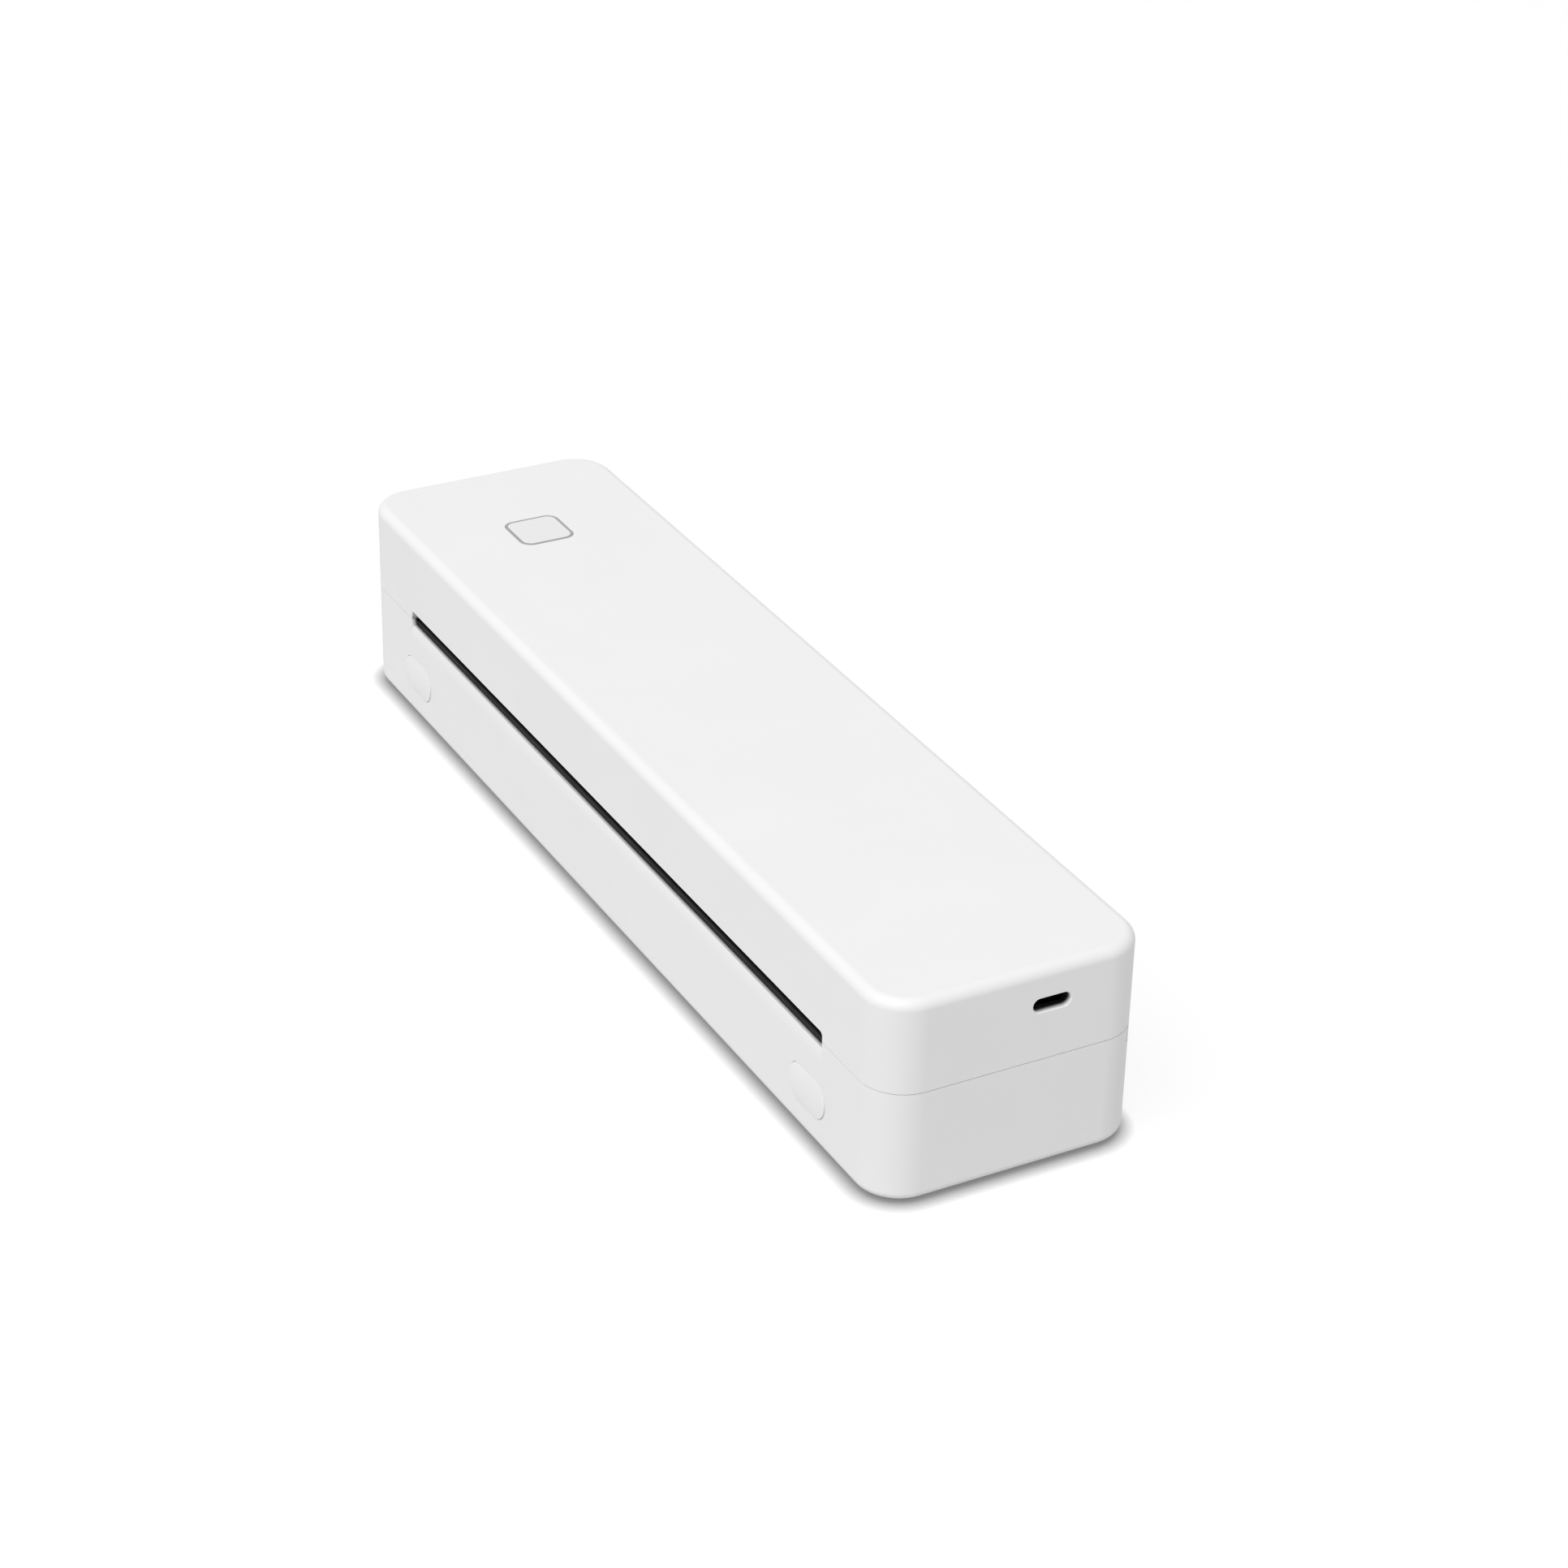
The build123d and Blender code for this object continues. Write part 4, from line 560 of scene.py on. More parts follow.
low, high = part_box("power_button")
middle = (low + high) / 2
shape = bmesh.new()
loops = [[shape.verts.new((middle.x + x, middle.y + y, height)) for x, y in rounded_square(half, corner)]
         for half, corner, height in ((RING_OUTER, RING_OUTER_CORNER, RING_LOW),
                                      (RING_OUTER, RING_OUTER_CORNER, RING_TOP),
                                      (RING_INNER, RING_INNER_CORNER, RING_TOP),
                                      (RING_INNER, RING_INNER_CORNER, RING_LOW))]
for here, there in zip(loops, loops[1:] + loops[:1]):
    for step in range(len(here)):
        after = (step + 1) % len(here)
        shape.faces.new((here[step], here[after], there[after], there[step]))
bmesh.ops.recalc_face_normals(shape, faces=shape.faces)
ring_mesh = bpy.data.meshes.new("power_button_ring")
shape.to_mesh(ring_mesh)
shape.free()
ring_mesh.shade_smooth()
ring_mesh.set_sharp_from_angle(angle=SHARP)
ring = bpy.data.objects.new("power_button_ring", ring_mesh)
bpy.context.scene.collection.objects.link(ring)
soften(ring, 0.1 * MM)
ring_mesh.materials.append(made_finishes["button_ring"])
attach(ring, "power_key")
bpy.data.objects["power_button_finished"].data.materials[0] = made_finishes["button_white"]
print("ring round the power button:", round(2 * RING_OUTER / MM, 1), "mm wide")

# %% [markdown]
# ## What repeats
# Screws, springs, teeth, legs and wires are the same shape many times over, so each is a Geometry Nodes tree
# with its sizes as named inputs. A tree gets the places as loose points, builds one shape from primitives,
# puts it on every point, makes the copies real and gives them their finish. The places are read from the
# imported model, so a screw stays where its hole is.

# %% Helpers for places and trees
def solids_of(node):
    """Gives the lowest and highest corner of every separate solid in a CAD node."""
    shape = bmesh.new()
    shape.from_mesh(nodes[node].data)
    bmesh.ops.remove_doubles(shape, verts=shape.verts, dist=WELD)
    waiting = set(shape.verts)
    boxes = []
    while waiting:
        reached = [waiting.pop()]
        solid = []
        while reached:
            vert = reached.pop()
            solid.append(vert.co.copy())
            for edge in vert.link_edges:
                other = edge.other_vert(vert)
                if other in waiting:
                    waiting.remove(other)
                    reached.append(other)
        boxes.append((Vector([min(place[axis] for place in solid) for axis in range(3)]),
                      Vector([max(place[axis] for place in solid) for axis in range(3)])))
    shape.free()
    return sorted(boxes, key=lambda box: tuple(box[0]))


def add(tree, kind, sockets=None, **settings):
    """Adds a node, sets or links its sockets by name or number, and gives its first output."""
    node = tree.nodes.new(kind)
    for setting, value in settings.items():
        setattr(node, setting, value)
    for socket, given in (sockets or {}).items():
        for value in given if isinstance(given, list) else [given]:
            if isinstance(value, bpy.types.NodeSocket):
                tree.links.new(value, node.inputs[socket])
            else:
                node.inputs[socket].default_value = value
    return node.outputs[0]


def calc(tree, operation, first, second):
    """Works out a number inside a tree."""
    return add(tree, "ShaderNodeMath", {0: first, 1: second}, operation=operation)


def along_z(tree, geometry, height, turn=(0, 0, 0)):
    """Turns a shape and lifts it to a height."""
    lift = add(tree, "ShaderNodeCombineXYZ", {"Z": height})
    return add(tree, "GeometryNodeTransform", {"Geometry": geometry, "Translation": lift, "Rotation": turn})


def new_tree(name, *sizes):
    """Starts a tree with a named input for each size, and gives it with its inputs by name."""
    tree = bpy.data.node_groups.new(name, "GeometryNodeTree")
    tree.interface.new_socket("Geometry", in_out="INPUT", socket_type="NodeSocketGeometry")
    for size in sizes:
        tree.interface.new_socket(size, in_out="INPUT", socket_type="NodeSocketFloat")
    tree.interface.new_socket("Finish", in_out="INPUT", socket_type="NodeSocketMaterial")
    tree.interface.new_socket("Geometry", in_out="OUTPUT", socket_type="NodeSocketGeometry")
    group = tree.nodes.new("NodeGroupInput")
    return tree, {socket.name: socket for socket in group.outputs if socket.name}


def end_tree(tree, given, geometry):
    """Makes a tree's copies real, gives them their finish and ends the tree."""
    real = add(tree, "GeometryNodeRealizeInstances", {"Geometry": geometry})
    dressed = add(tree, "GeometryNodeSetMaterial", {"Geometry": real, "Material": given["Finish"]})
    tree.links.new(dressed, tree.nodes.new("NodeGroupOutput").inputs["Geometry"])


def on_places(tree, given, shape, turn=None):
    """Puts a shape on every given point, each turned alike or by its own turn."""
    sockets = {"Points": given["Geometry"], "Instance": shape}
    if turn is not None:
        sockets["Rotation"] = turn
    return add(tree, "GeometryNodeInstanceOnPoints", sockets)


def grown(name, tree, sizes, slot, holder):
    """Runs a tree on a mesh of points or edges, and gives the result as a piece of plain mesh."""
    piece = bpy.data.objects.new(name, holder)
    bpy.context.scene.collection.objects.link(piece)
    modifier = piece.modifiers.new("grown", "NODES")
    modifier.node_group = tree
    for item in tree.interface.items_tree:
        if item.in_out == "INPUT" and item.name in sizes:
            modifier[item.identifier] = float(sizes[item.name])
        elif item.in_out == "INPUT" and item.name == "Finish":
            modifier[item.identifier] = made_finishes[slot]
    seen = piece.evaluated_get(bpy.context.evaluated_depsgraph_get())
    mesh = bpy.data.meshes.new_from_object(seen)
    piece.modifiers.clear()
    piece.data = mesh
    mesh.name = name
    mesh.materials.clear()
    mesh.materials.append(made_finishes[slot])
    mesh.polygons.foreach_set("material_index", [0] * len(mesh.polygons))
    mesh.shade_smooth()
    mesh.set_sharp_from_angle(angle=SHARP)
    print(name, "faces:", len(mesh.polygons))
    return piece


def points(name, places, turns=None):
    """Makes a mesh of loose points, each with its own turn about Z if turns are given."""
    mesh = bpy.data.meshes.new(name + "_places")
    mesh.from_pydata([tuple(place) for place in places], [], [])
    if turns:
        mesh.attributes.new("turn", "FLOAT", "POINT").data.foreach_set("value", turns)
    return mesh


# %% [markdown]
# ### Screws
# Small thread-forming screws hold the boards, the frame and the bed. A screw is a head, a shank with a
# pointed tip and a thread, and a cross in the head. The thread is a triangle swept along a spiral. Head,
# shank and tip are joined into one closed shape before the cross is cut, so that the cut has clean walls.

# %% Trees for countersunk and domed screws
def screw_tree(name, domed):
    tree, given = new_tree(name, "Head radius", "Head height", "Shank radius", "Length", "Thread pitch",
                           "Cross width", "Tilt")
    under_head = calc(tree, "MULTIPLY", given["Head height"], -1.0)
    if domed:
        dome = add(tree, "GeometryNodeMeshUVSphere", {"Segments": 24, "Rings": 12, "Radius": 1.0})
        spread = add(tree, "ShaderNodeCombineXYZ", {"X": given["Head radius"], "Y": given["Head radius"],
                                                    "Z": given["Head height"]})
        dome = add(tree, "GeometryNodeTransform", {"Geometry": dome, "Scale": spread})
        wide = calc(tree, "MULTIPLY", given["Head radius"], 3.0)
        below = add(tree, "GeometryNodeMeshCube",
                    {"Size": add(tree, "ShaderNodeCombineXYZ", {"X": wide, "Y": wide, "Z": wide})})
        below = along_z(tree, below, calc(tree, "MULTIPLY", wide, -0.5))
        half = add(tree, "GeometryNodeMeshBoolean", {0: dome, 1: below}, operation="DIFFERENCE")
        head = along_z(tree, half, under_head)
    else:
        cone = add(tree, "GeometryNodeMeshCone", {"Vertices": 24, "Radius Top": given["Head radius"],
                                                  "Radius Bottom": given["Shank radius"],
                                                  "Depth": given["Head height"]})
        head = along_z(tree, cone, under_head)
    core = calc(tree, "MULTIPLY", given["Shank radius"], 0.75)
    tip = calc(tree, "MULTIPLY", given["Shank radius"], 1.5)
    inside_head = calc(tree, "MULTIPLY", given["Head height"], 0.45)
    straight = calc(tree, "SUBTRACT", calc(tree, "SUBTRACT", given["Length"], tip), inside_head)
    shank = add(tree, "GeometryNodeMeshCylinder", {"Vertices": 16, "Radius": core, "Depth": straight})
    middle = calc(tree, "ADD", calc(tree, "MULTIPLY", straight, 0.5), inside_head)
    shank = along_z(tree, shank, calc(tree, "MULTIPLY", middle, -1.0))
    point = add(tree, "GeometryNodeMeshCone", {"Vertices": 16, "Radius Top": core,
                                               "Radius Bottom": calc(tree, "MULTIPLY", core, 0.25),
                                               "Depth": calc(tree, "MULTIPLY", tip, 1.1)})
    point = along_z(tree, point, calc(tree, "MULTIPLY", given["Length"], -1.0))
    solid = add(tree, "GeometryNodeMeshBoolean", {1: [head, shank, point]}, operation="UNION")
    slit = {"X": given["Cross width"], "Y": calc(tree, "MULTIPLY", given["Cross width"], 0.22),
            "Z": given["Head height"]}
    bar = add(tree, "GeometryNodeMeshCube", {"Size": add(tree, "ShaderNodeCombineXYZ", slit)})
    cross_bar = add(tree, "GeometryNodeTransform", {"Geometry": bar, "Rotation": (0, 0, pi / 2)})
    solid = add(tree, "GeometryNodeMeshBoolean", {0: solid, 1: [bar, cross_bar]}, operation="DIFFERENCE")
    threaded = calc(tree, "SUBTRACT", calc(tree, "SUBTRACT", given["Length"], given["Head height"]), tip)
    ridge = calc(tree, "MULTIPLY", given["Shank radius"], 0.15)
    spiral = add(tree, "GeometryNodeCurveSpiral",
                 {"Resolution": 12, "Rotations": calc(tree, "DIVIDE", threaded, given["Thread pitch"]),
                  "Start Radius": core, "End Radius": core, "Height": threaded})
    triangle = add(tree, "GeometryNodeCurvePrimitiveCircle", {"Resolution": 3, "Radius": ridge})
    thread = add(tree, "GeometryNodeCurveToMesh", {"Curve": spiral, "Profile Curve": triangle,
                                                   "Fill Caps": True})
    thread = along_z(tree, thread, calc(tree, "SUBTRACT", tip, given["Length"]))
    whole = add(tree, "GeometryNodeJoinGeometry", {"Geometry": [solid, thread]})
    tilt = add(tree, "ShaderNodeCombineXYZ", {"X": given["Tilt"]})
    end_tree(tree, given, on_places(tree, given, whole, tilt))
    return tree


countersunk_screw = screw_tree("countersunk screw", False)
domed_screw = screw_tree("domed screw", True)

# %% Put the screws in their holes
SCREWS = {
    "frame_screws": (countersunk_screw, 1.9, 1.1, 0.8, 1.8, True),
    "bed_screws": (countersunk_screw, 1.9, 1.1, 0.8, 1.8, False),
    "board_screws": (domed_screw, 1.7, 1.2, 0.8, 1.8, False),
    "bar_screws": (domed_screw, 1.5, 1.2, 0.7, 1.6, False),
    "drive_screws": (domed_screw, 1.5, 1.2, 0.7, 1.6, False),
    "button_board_screws": (domed_screw, 1.7, 1.2, 0.8, 1.8, True),
}
for node, (tree, head, high, shank, cross, upside_down) in SCREWS.items():
    holes = solids_of(node)
    low, top = holes[0]
    places = [((low.x + top.x) / 2, (low.y + top.y) / 2, low.z if upside_down else top.z) for low, top in holes]
    sizes = {"Head radius": head * MM, "Head height": high * MM, "Shank radius": shank * MM,
             "Length": top.z - low.z, "Thread pitch": 0.8 * MM, "Cross width": cross * MM,
             "Tilt": pi if upside_down else 0.0}
    stand_for(grown(node + "_cut", tree, sizes, slot_of[node], points(node, places)), node)

# %% [markdown]
# ### Coil springs
# A compression spring has an open coil between two ends that are wound flat, so that it stands square on its
# seat. The tree sweeps a round wire along a flat spiral and then lifts the spiral by a value that rests at
# both ends. Springs shorten as their joint moves.

# %% A tree for springs
spring_tree, given = new_tree("spring", "Coil radius", "Wire radius", "Height", "Turns", "Tilt")
coil = add(spring_tree, "GeometryNodeCurveSpiral",
           {"Resolution": 28, "Rotations": given["Turns"], "Start Radius": given["Coil radius"],
            "End Radius": given["Coil radius"], "Height": 0.0})
flat_end = calc(spring_tree, "DIVIDE", 0.8, given["Turns"])
rise = add(spring_tree, "ShaderNodeMapRange",
           {"Value": add(spring_tree, "GeometryNodeSplineParameter"), "From Min": flat_end,
            "From Max": calc(spring_tree, "SUBTRACT", 1.0, flat_end), "To Min": given["Wire radius"],
            "To Max": calc(spring_tree, "SUBTRACT", given["Height"], given["Wire radius"])})
coil = add(spring_tree, "GeometryNodeSetPosition",
           {"Geometry": coil, "Offset": add(spring_tree, "ShaderNodeCombineXYZ", {"Z": rise})})
wire = add(spring_tree, "GeometryNodeCurvePrimitiveCircle", {"Resolution": 10, "Radius": given["Wire radius"]})
wound = add(spring_tree, "GeometryNodeCurveToMesh", {"Curve": coil, "Profile Curve": wire, "Fill Caps": True})
tilt = add(spring_tree, "ShaderNodeCombineXYZ", {"X": given["Tilt"]})
end_tree(spring_tree, given, on_places(spring_tree, given, wound, tilt))

# %% Springs behind the release buttons and over the print head
for side in ("left", "right"):
    node = "release_spring_" + side
    low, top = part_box(node)
    middle = (low + top) / 2
    sizes = {"Coil radius": 2.2 * MM, "Wire radius": 0.25 * MM, "Height": top.y - low.y, "Turns": 5.5,
             "Tilt": -pi / 2}
    spring = grown(node + "_wound", spring_tree, sizes, "steel", points(node, [(middle.x, low.y, middle.z)]))
    stand_for(spring, node)
    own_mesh(spring)
head_places = [((low.x + top.x) / 2, (low.y + top.y) / 2, low.z) for low, top in solids_of("head_springs")]
low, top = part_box("head_springs")
sizes = {"Coil radius": 2.1 * MM, "Wire radius": 0.25 * MM, "Height": top.z - low.z, "Turns": 4.5, "Tilt": 0.0}
spring = grown("head_springs_wound", spring_tree, sizes, "steel", points("head_springs", head_places))
stand_for(spring, "head_springs")
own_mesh(spring)

# %% [markdown]
# ### The tear strip
# A torn sheet needs a row of sharp points just above the paper. The strip has one tooth every millimetre:
# each is a four-sided point that hangs from a thin bar, and the tree repeats it along a line.

# %% A tree for the tear strip
TOOTH_DEEP = 0.6 * MM
TOOTH_PITCH = 1.0 * MM
strip_tree, given = new_tree("tear strip", "Teeth", "Pitch", "Tooth depth", "Thickness", "Height")
line = add(strip_tree, "GeometryNodeMeshLine",
           {"Count": given["Teeth"], "Offset": add(strip_tree, "ShaderNodeCombineXYZ", {"X": given["Pitch"]})})
tooth = add(strip_tree, "GeometryNodeMeshCone",
            {"Vertices": 4, "Radius Top": 0.0, "Radius Bottom": calc(strip_tree, "DIVIDE", given["Pitch"], 2 ** 0.5),
             "Depth": given["Tooth depth"]})
tooth = along_z(strip_tree, tooth, given["Tooth depth"], (pi, 0, pi / 4))
thin = add(strip_tree, "ShaderNodeCombineXYZ",
           {"X": 1.0, "Y": calc(strip_tree, "DIVIDE", given["Thickness"], given["Pitch"]), "Z": 1.0})
tooth = add(strip_tree, "GeometryNodeTransform", {"Geometry": tooth, "Scale": thin})
teeth = add(strip_tree, "GeometryNodeInstanceOnPoints", {"Points": line, "Instance": tooth})
bar_high = calc(strip_tree, "SUBTRACT", given["Height"], given["Tooth depth"])
long = calc(strip_tree, "MULTIPLY", given["Teeth"], given["Pitch"])
bar = add(strip_tree, "GeometryNodeMeshCube",
          {"Size": add(strip_tree, "ShaderNodeCombineXYZ", {"X": long, "Y": given["Thickness"], "Z": bar_high})})
centre = add(strip_tree, "ShaderNodeCombineXYZ",
             {"X": calc(strip_tree, "MULTIPLY", calc(strip_tree, "SUBTRACT", long, given["Pitch"]), 0.5),
              "Z": calc(strip_tree, "ADD", calc(strip_tree, "MULTIPLY", bar_high, 0.5), given["Tooth depth"])})
bar = add(strip_tree, "GeometryNodeTransform", {"Geometry": bar, "Translation": centre})
strip = add(strip_tree, "GeometryNodeJoinGeometry", {"Geometry": [teeth, bar]})
end_tree(strip_tree, given, on_places(strip_tree, given, strip))

low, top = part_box("tear_strip")
teeth_in_strip = round((top.x - low.x) / TOOTH_PITCH)
sizes = {"Teeth": teeth_in_strip, "Pitch": TOOTH_PITCH, "Tooth depth": TOOTH_DEEP,
         "Thickness": top.y - low.y, "Height": top.z - low.z}
first_tooth = (low.x + TOOTH_PITCH / 2, (low.y + top.y) / 2, low.z)
strip = grown("tear_strip_cut", strip_tree, sizes, slot_of["tear_strip"], points("tear_strip", [first_tooth]))
stand_for(strip, "tear_strip")
print("teeth:", teeth_in_strip)

# %% [markdown]
# ### Legs and contacts
# A chip's legs come out of its sides, bend down and end in a flat foot on the board. A leg is three small
# blocks, turned by a value that each point carries. The port's tongue has a row of flat contacts on both
# sides, and they are the same idea with a single block.

# %% Chip legs
leg_tree, given = new_tree("legs", "Width", "Sheet", "Reach", "Height")


def leg_block(length, high, along, up):
    size = add(leg_tree, "ShaderNodeCombineXYZ", {"X": length, "Y": given["Width"], "Z": high})
    block = add(leg_tree, "GeometryNodeMeshCube", {"Size": size})
    place = add(leg_tree, "ShaderNodeCombineXYZ", {"X": along, "Z": up})
    return add(leg_tree, "GeometryNodeTransform", {"Geometry": block, "Translation": place})


reach_half = calc(leg_tree, "MULTIPLY", given["Reach"], 0.5)
foot = leg_block(reach_half, given["Sheet"], calc(leg_tree, "MULTIPLY", given["Reach"], 0.75),
                 calc(leg_tree, "MULTIPLY", given["Sheet"], 0.5))
riser = leg_block(given["Sheet"], given["Height"], reach_half, calc(leg_tree, "MULTIPLY", given["Height"], 0.5))
arm = leg_block(reach_half, given["Sheet"], calc(leg_tree, "MULTIPLY", given["Reach"], 0.25), given["Height"])
leg = add(leg_tree, "GeometryNodeJoinGeometry", {"Geometry": [foot, riser, arm]})
own_turn = add(leg_tree, "GeometryNodeInputNamedAttribute", {"Name": "turn"}, data_type="FLOAT")
turn = add(leg_tree, "ShaderNodeCombineXYZ", {"Z": own_turn})
end_tree(leg_tree, given, on_places(leg_tree, given, leg, turn))

LEG_PITCH = 0.8 * MM
places, turns = [], []
for low, top in solids_of("board_chips"):
    middle = (low + top) / 2
    half = (top - low) / 2
    square = abs(half.x - half.y) < 0.1 * MM
    for turn in (0, pi / 2, pi, 3 * pi / 2) if square else (0, pi):
        out = Vector((round(cos(turn)), round(sin(turn)), 0))
        across = Vector((-out.y, out.x, 0))
        side_half = half.y if abs(out.x) else half.x
        legs = int((2 * side_half - 0.8 * MM) / LEG_PITCH)
        for leg in range(legs):
            step = (leg - (legs - 1) / 2) * LEG_PITCH
            place = middle + out * (half.x if abs(out.x) else half.y) + across * step
            places.append((place.x, place.y, low.z))
            turns.append(turn)
sizes = {"Width": 0.35 * MM, "Sheet": 0.15 * MM, "Reach": 0.9 * MM, "Height": 0.5 * MM}
legs = grown("chip_legs", leg_tree, sizes, "steel", points("chip_legs", places, turns))
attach(legs, "cover")

# %% Contacts on the port's tongue
contact_tree, given = new_tree("contacts", "Length", "Width", "Thickness")
size = add(contact_tree, "ShaderNodeCombineXYZ",
           {"X": given["Length"], "Y": given["Width"], "Z": given["Thickness"]})
contact = add(contact_tree, "GeometryNodeMeshCube", {"Size": size})
end_tree(contact_tree, given, on_places(contact_tree, given, contact))

CONTACTS = 12
(_, _, _), (tongue_end, _, _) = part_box("usb_tongue")
port_low, port_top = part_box("usb_shell")
port_middle = (port_low + port_top) / 2
contact_places = [(tongue_end - 2.6 * MM, port_middle.y + (contact - (CONTACTS - 1) / 2) * 0.5 * MM,
                   port_middle.z + face * 0.36 * MM) for contact in range(CONTACTS) for face in (-1, 1)]
sizes = {"Length": 3.6 * MM, "Width": 0.26 * MM, "Thickness": 0.06 * MM}
contacts = grown("port_contacts", contact_tree, sizes, "brass", points("port_contacts", contact_places))
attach(contacts, "cover")

# %% [markdown]
# ### Wires
# Each inner cable is three or four thin wires twisted together. Its middle line is a smooth NURBS spline through the
# cable's route. The tree lays as many circles in a ring as there are wires, turns the ring slowly along the
# line, and sweeps it, so that every wire is a closed tube.

# %% A tree for twisted wires
wire_tree, given = new_tree("wires", "Wires", "Ring radius", "Wire radius", "Twists")
middle_line = add(wire_tree, "GeometryNodeMeshToCurve", {"Mesh": given["Geometry"]})
turned_by = calc(wire_tree, "MULTIPLY", calc(wire_tree, "MULTIPLY", given["Twists"], 2 * pi),
                 add(wire_tree, "GeometryNodeSplineParameter"))
middle_line = add(wire_tree, "GeometryNodeSetCurveTilt", {"Curve": middle_line, "Tilt": turned_by})
ring = add(wire_tree, "GeometryNodeMeshCircle", {"Vertices": given["Wires"], "Radius": given["Ring radius"]})
section = add(wire_tree, "GeometryNodeCurvePrimitiveCircle", {"Resolution": 8, "Radius": given["Wire radius"]})
sections = add(wire_tree, "GeometryNodeInstanceOnPoints", {"Points": ring, "Instance": section})
sections = add(wire_tree, "GeometryNodeRealizeInstances", {"Geometry": sections})
swept = add(wire_tree, "GeometryNodeCurveToMesh", {"Curve": middle_line, "Profile Curve": sections,
                                                   "Fill Caps": True})
end_tree(wire_tree, given, swept)


def route_line(name, route):
    """Gives a cable's middle line as a mesh of edges, read from a NURBS spline along its route."""
    curve = bpy.data.curves.new(name, "CURVE")
    curve.dimensions = "3D"
    curve.resolution_u = 6
    spline = curve.splines.new("NURBS")
    spline.points.add(len(route) - 1)
    for point, place in zip(spline.points, route):
        point.co = (place[0] * MM, place[1] * MM, place[2] * MM, 1)
    spline.order_u = 3
    spline.use_endpoint_u = True
    holder = bpy.data.objects.new(name, curve)
    bpy.context.scene.collection.objects.link(holder)
    seen = holder.evaluated_get(bpy.context.evaluated_depsgraph_get())
    line = bpy.data.meshes.new_from_object(seen)
    bpy.data.objects.remove(holder)
    return line


# %% Run the three cables
ROUTES = {
    "battery_cable": ([(9, 12.6, 38), (13.2, 12.6, 38), (17.6, 12.6, 40.5), (22.5, 12.6, 40.5)], 3, 0.5, 0.42, 2),
    "button_cable": ([(-84.8, 1.4, 43.8), (-70, 1.4, 43.8), (-30, 4.2, 43.8), (10.5, 7, 43.8), (17.5, 7, 40.5),
                      (22.5, 7, 40.5)], 3, 0.36, 0.3, 9),
    "motor_cable": ([(-88.7, 13, 35.3), (-84.2, 13, 35.3), (-84.2, 26.4, 35.3), (-76, 26.4, 35.3),
                     (20, 26.4, 35.3), (31, 26.4, 35.3), (40, 26.4, 40.5), (40, 21.5, 40.5)], 4, 0.5, 0.33, 12),
}
for node, (route, wires, ring, radius, twists) in ROUTES.items():
    sizes = {"Wires": wires, "Ring radius": ring * MM, "Wire radius": radius * MM, "Twists": twists}
    stand_for(grown(node + "_wires", wire_tree, sizes, slot_of[node], route_line(node, route)), node)

# %% [markdown]
# ## Turned pieces
# A rubber foot and a capacitor's can are round, so their outline is drawn once, from the axis at the bottom to
# the axis at the top, and turned about the axis. The foot is hollowed underneath so that it grips, and the can
# has the groove that holds its seal.

# %% A helper that turns outlines
def turned(name, outline, centres, steps=48):
    """Turns an outline of (radius, height) pairs about upright axes, and makes one closed piece of them."""
    shape = bmesh.new()
    for centre in centres:
        rings = []
        for radius, height in outline:
            if radius == 0:
                rings.append([shape.verts.new((centre[0], centre[1], height))])
                continue
            rings.append([shape.verts.new((centre[0] + radius * cos(2 * pi * step / steps),
                                           centre[1] + radius * sin(2 * pi * step / steps), height))
                          for step in range(steps)])
        for lower, upper in zip(rings, rings[1:]):
            for step in range(steps):
                corners = [lower[step % len(lower)], lower[(step + 1) % len(lower)],
                           upper[(step + 1) % len(upper)], upper[step % len(upper)]]
                shape.faces.new(list(dict.fromkeys(corners)))
    bmesh.ops.recalc_face_normals(shape, faces=shape.faces)
    mesh = bpy.data.meshes.new(name)
    shape.to_mesh(mesh)
    shape.free()
    mesh.shade_smooth()
    mesh.set_sharp_from_angle(angle=SHARP)
    piece = bpy.data.objects.new(name, mesh)
    bpy.context.scene.collection.objects.link(piece)
    return piece


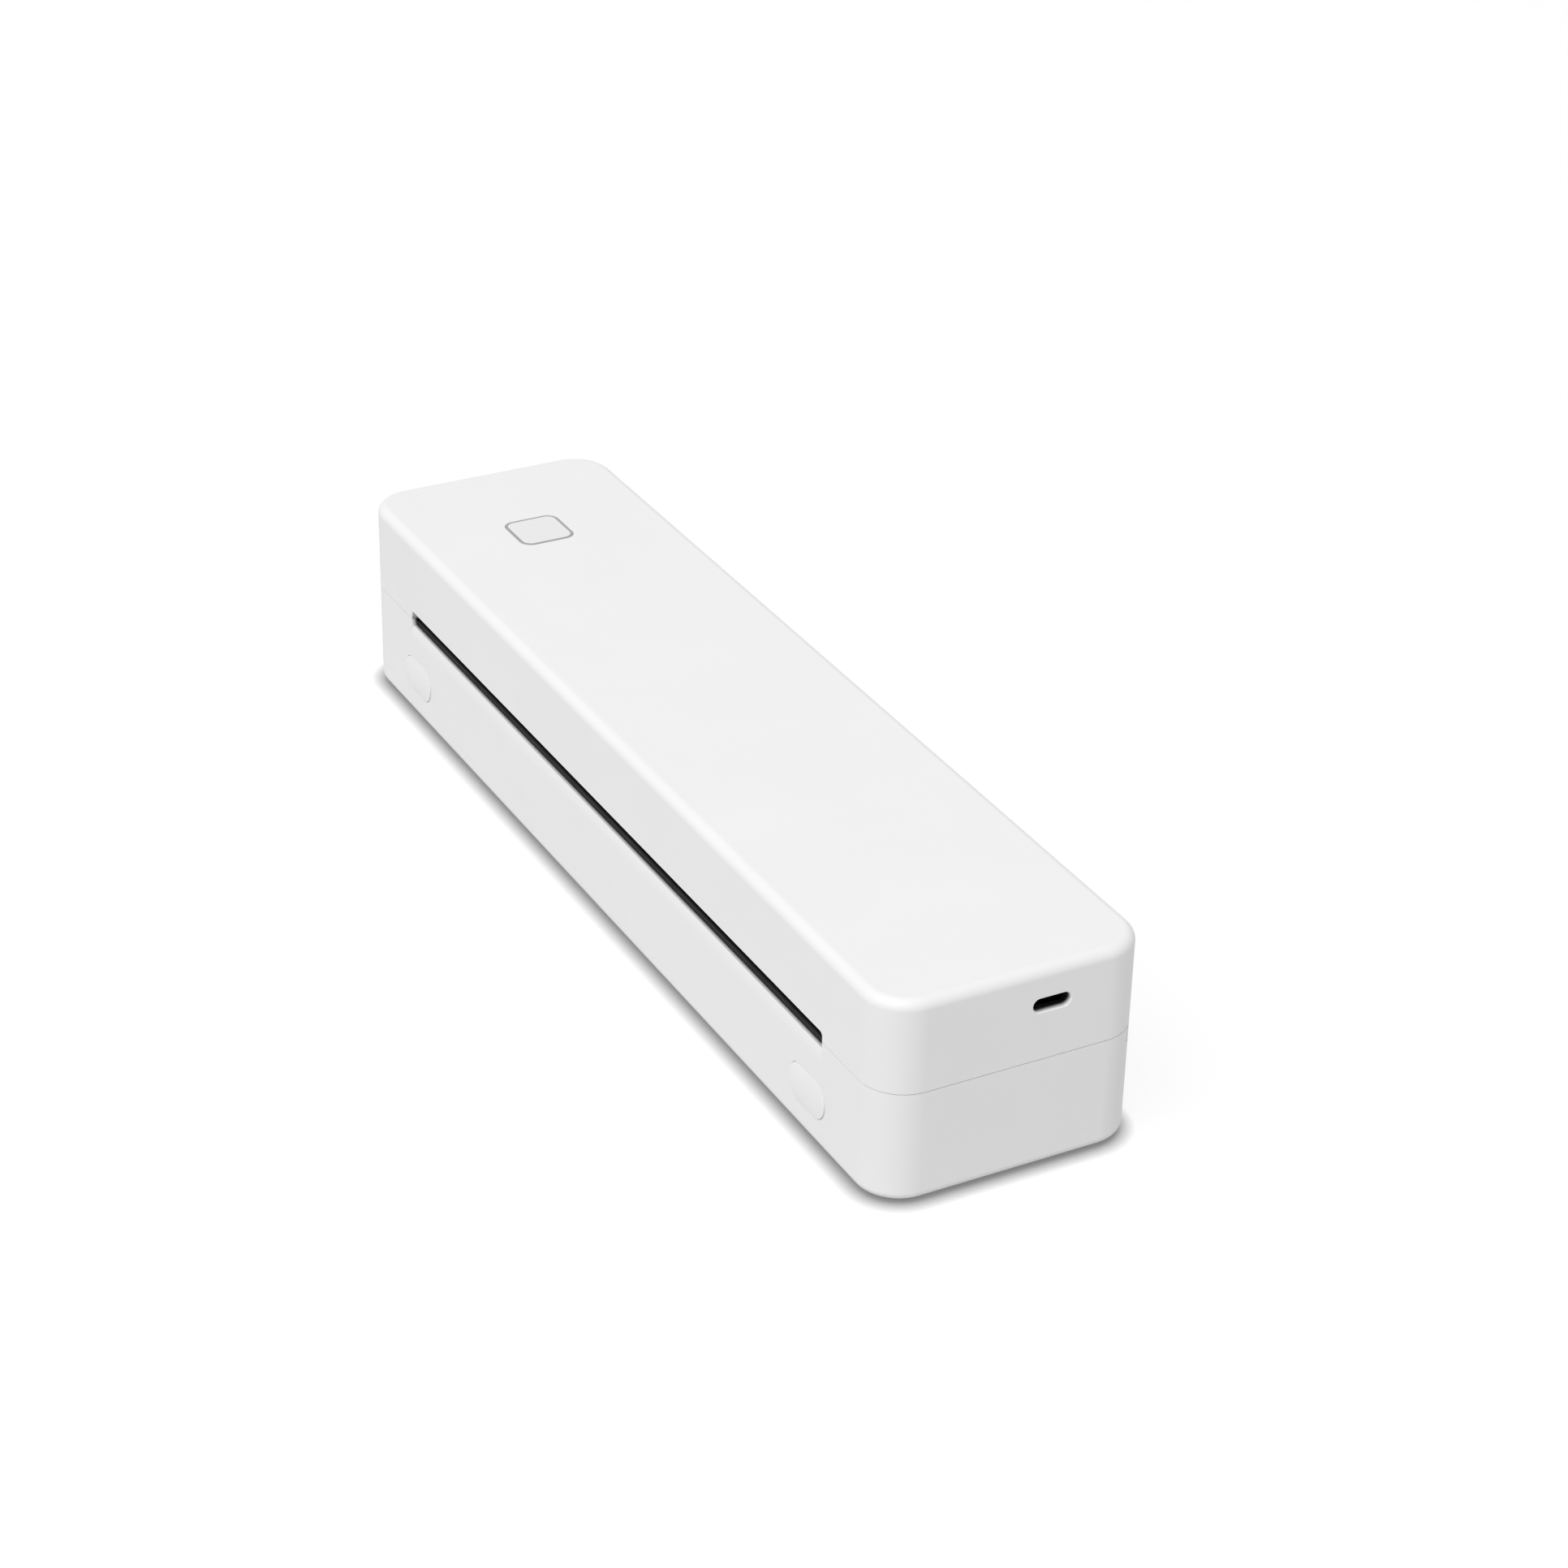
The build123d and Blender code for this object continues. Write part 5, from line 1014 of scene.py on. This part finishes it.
# %% Feet and capacitors
foot_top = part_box("rubber_feet")[1].z
FOOT_OUTLINE = [(0, 0.3), (3.3, 0.3), (3.5, 0.25), (3.8, 0.03), (4.0, 0), (5.4, 0), (5.75, 0.12), (5.95, 0.4),
                (6.0, 0.7)]
outline = [(radius * MM, height * MM) for radius, height in FOOT_OUTLINE] + [(6.0 * MM, foot_top), (0, foot_top)]
foot_centres = [((low.x + top.x) / 2, (low.y + top.y) / 2) for low, top in solids_of("rubber_feet")]
stand_for(turned("rubber_feet_turned", outline, foot_centres), "rubber_feet")

can_low, can_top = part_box("capacitors")
BASE_HIGH = 0.8 * MM
CAN_OUTLINE = [(0, 0.8), (2.9, 0.8), (3.1, 0.95), (3.15, 1.1), (3.15, 1.7), (2.9, 1.9), (2.85, 2.0), (2.9, 2.1),
               (3.15, 2.3), (3.15, 5.7), (3.1, 5.95), (2.9, 6.15), (2.6, 6.2), (2.45, 6.12), (0, 6.12)]
outline = [(radius * MM, can_low.z + height * MM) for radius, height in CAN_OUTLINE]
can_centres = [((low.x + top.x) / 2, (low.y + top.y) / 2) for low, top in solids_of("capacitors")]
stand_for(turned("capacitor_cans", outline, can_centres), "capacitors")

base = bpy.data.meshes.new("capacitor_bases")
shape = bmesh.new()
for x, y in can_centres:
    rim = [(-3.3, -3.3), (3.3, -3.3), (3.3, 2.1), (2.1, 3.3), (-2.1, 3.3), (-3.3, 2.1)]
    corners = [shape.verts.new((x + across * MM, y + back * MM, can_low.z)) for across, back in rim]
    bottom = shape.faces.new(corners)
    raised = bmesh.ops.extrude_face_region(shape, geom=[bottom])["geom"]
    bmesh.ops.translate(shape, vec=(0, 0, BASE_HIGH), verts=[item for item in raised if isinstance(item, bmesh.types.BMVert)])
bmesh.ops.recalc_face_normals(shape, faces=shape.faces)
shape.to_mesh(base)
shape.free()
bases = bpy.data.objects.new("capacitor_bases", base)
bpy.context.scene.collection.objects.link(bases)
base.materials.append(made_finishes["chip_black"])
soften(bases, 0.12 * MM)
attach(bases, "cover")
print("feet:", len(foot_centres), "capacitors:", len(can_centres))
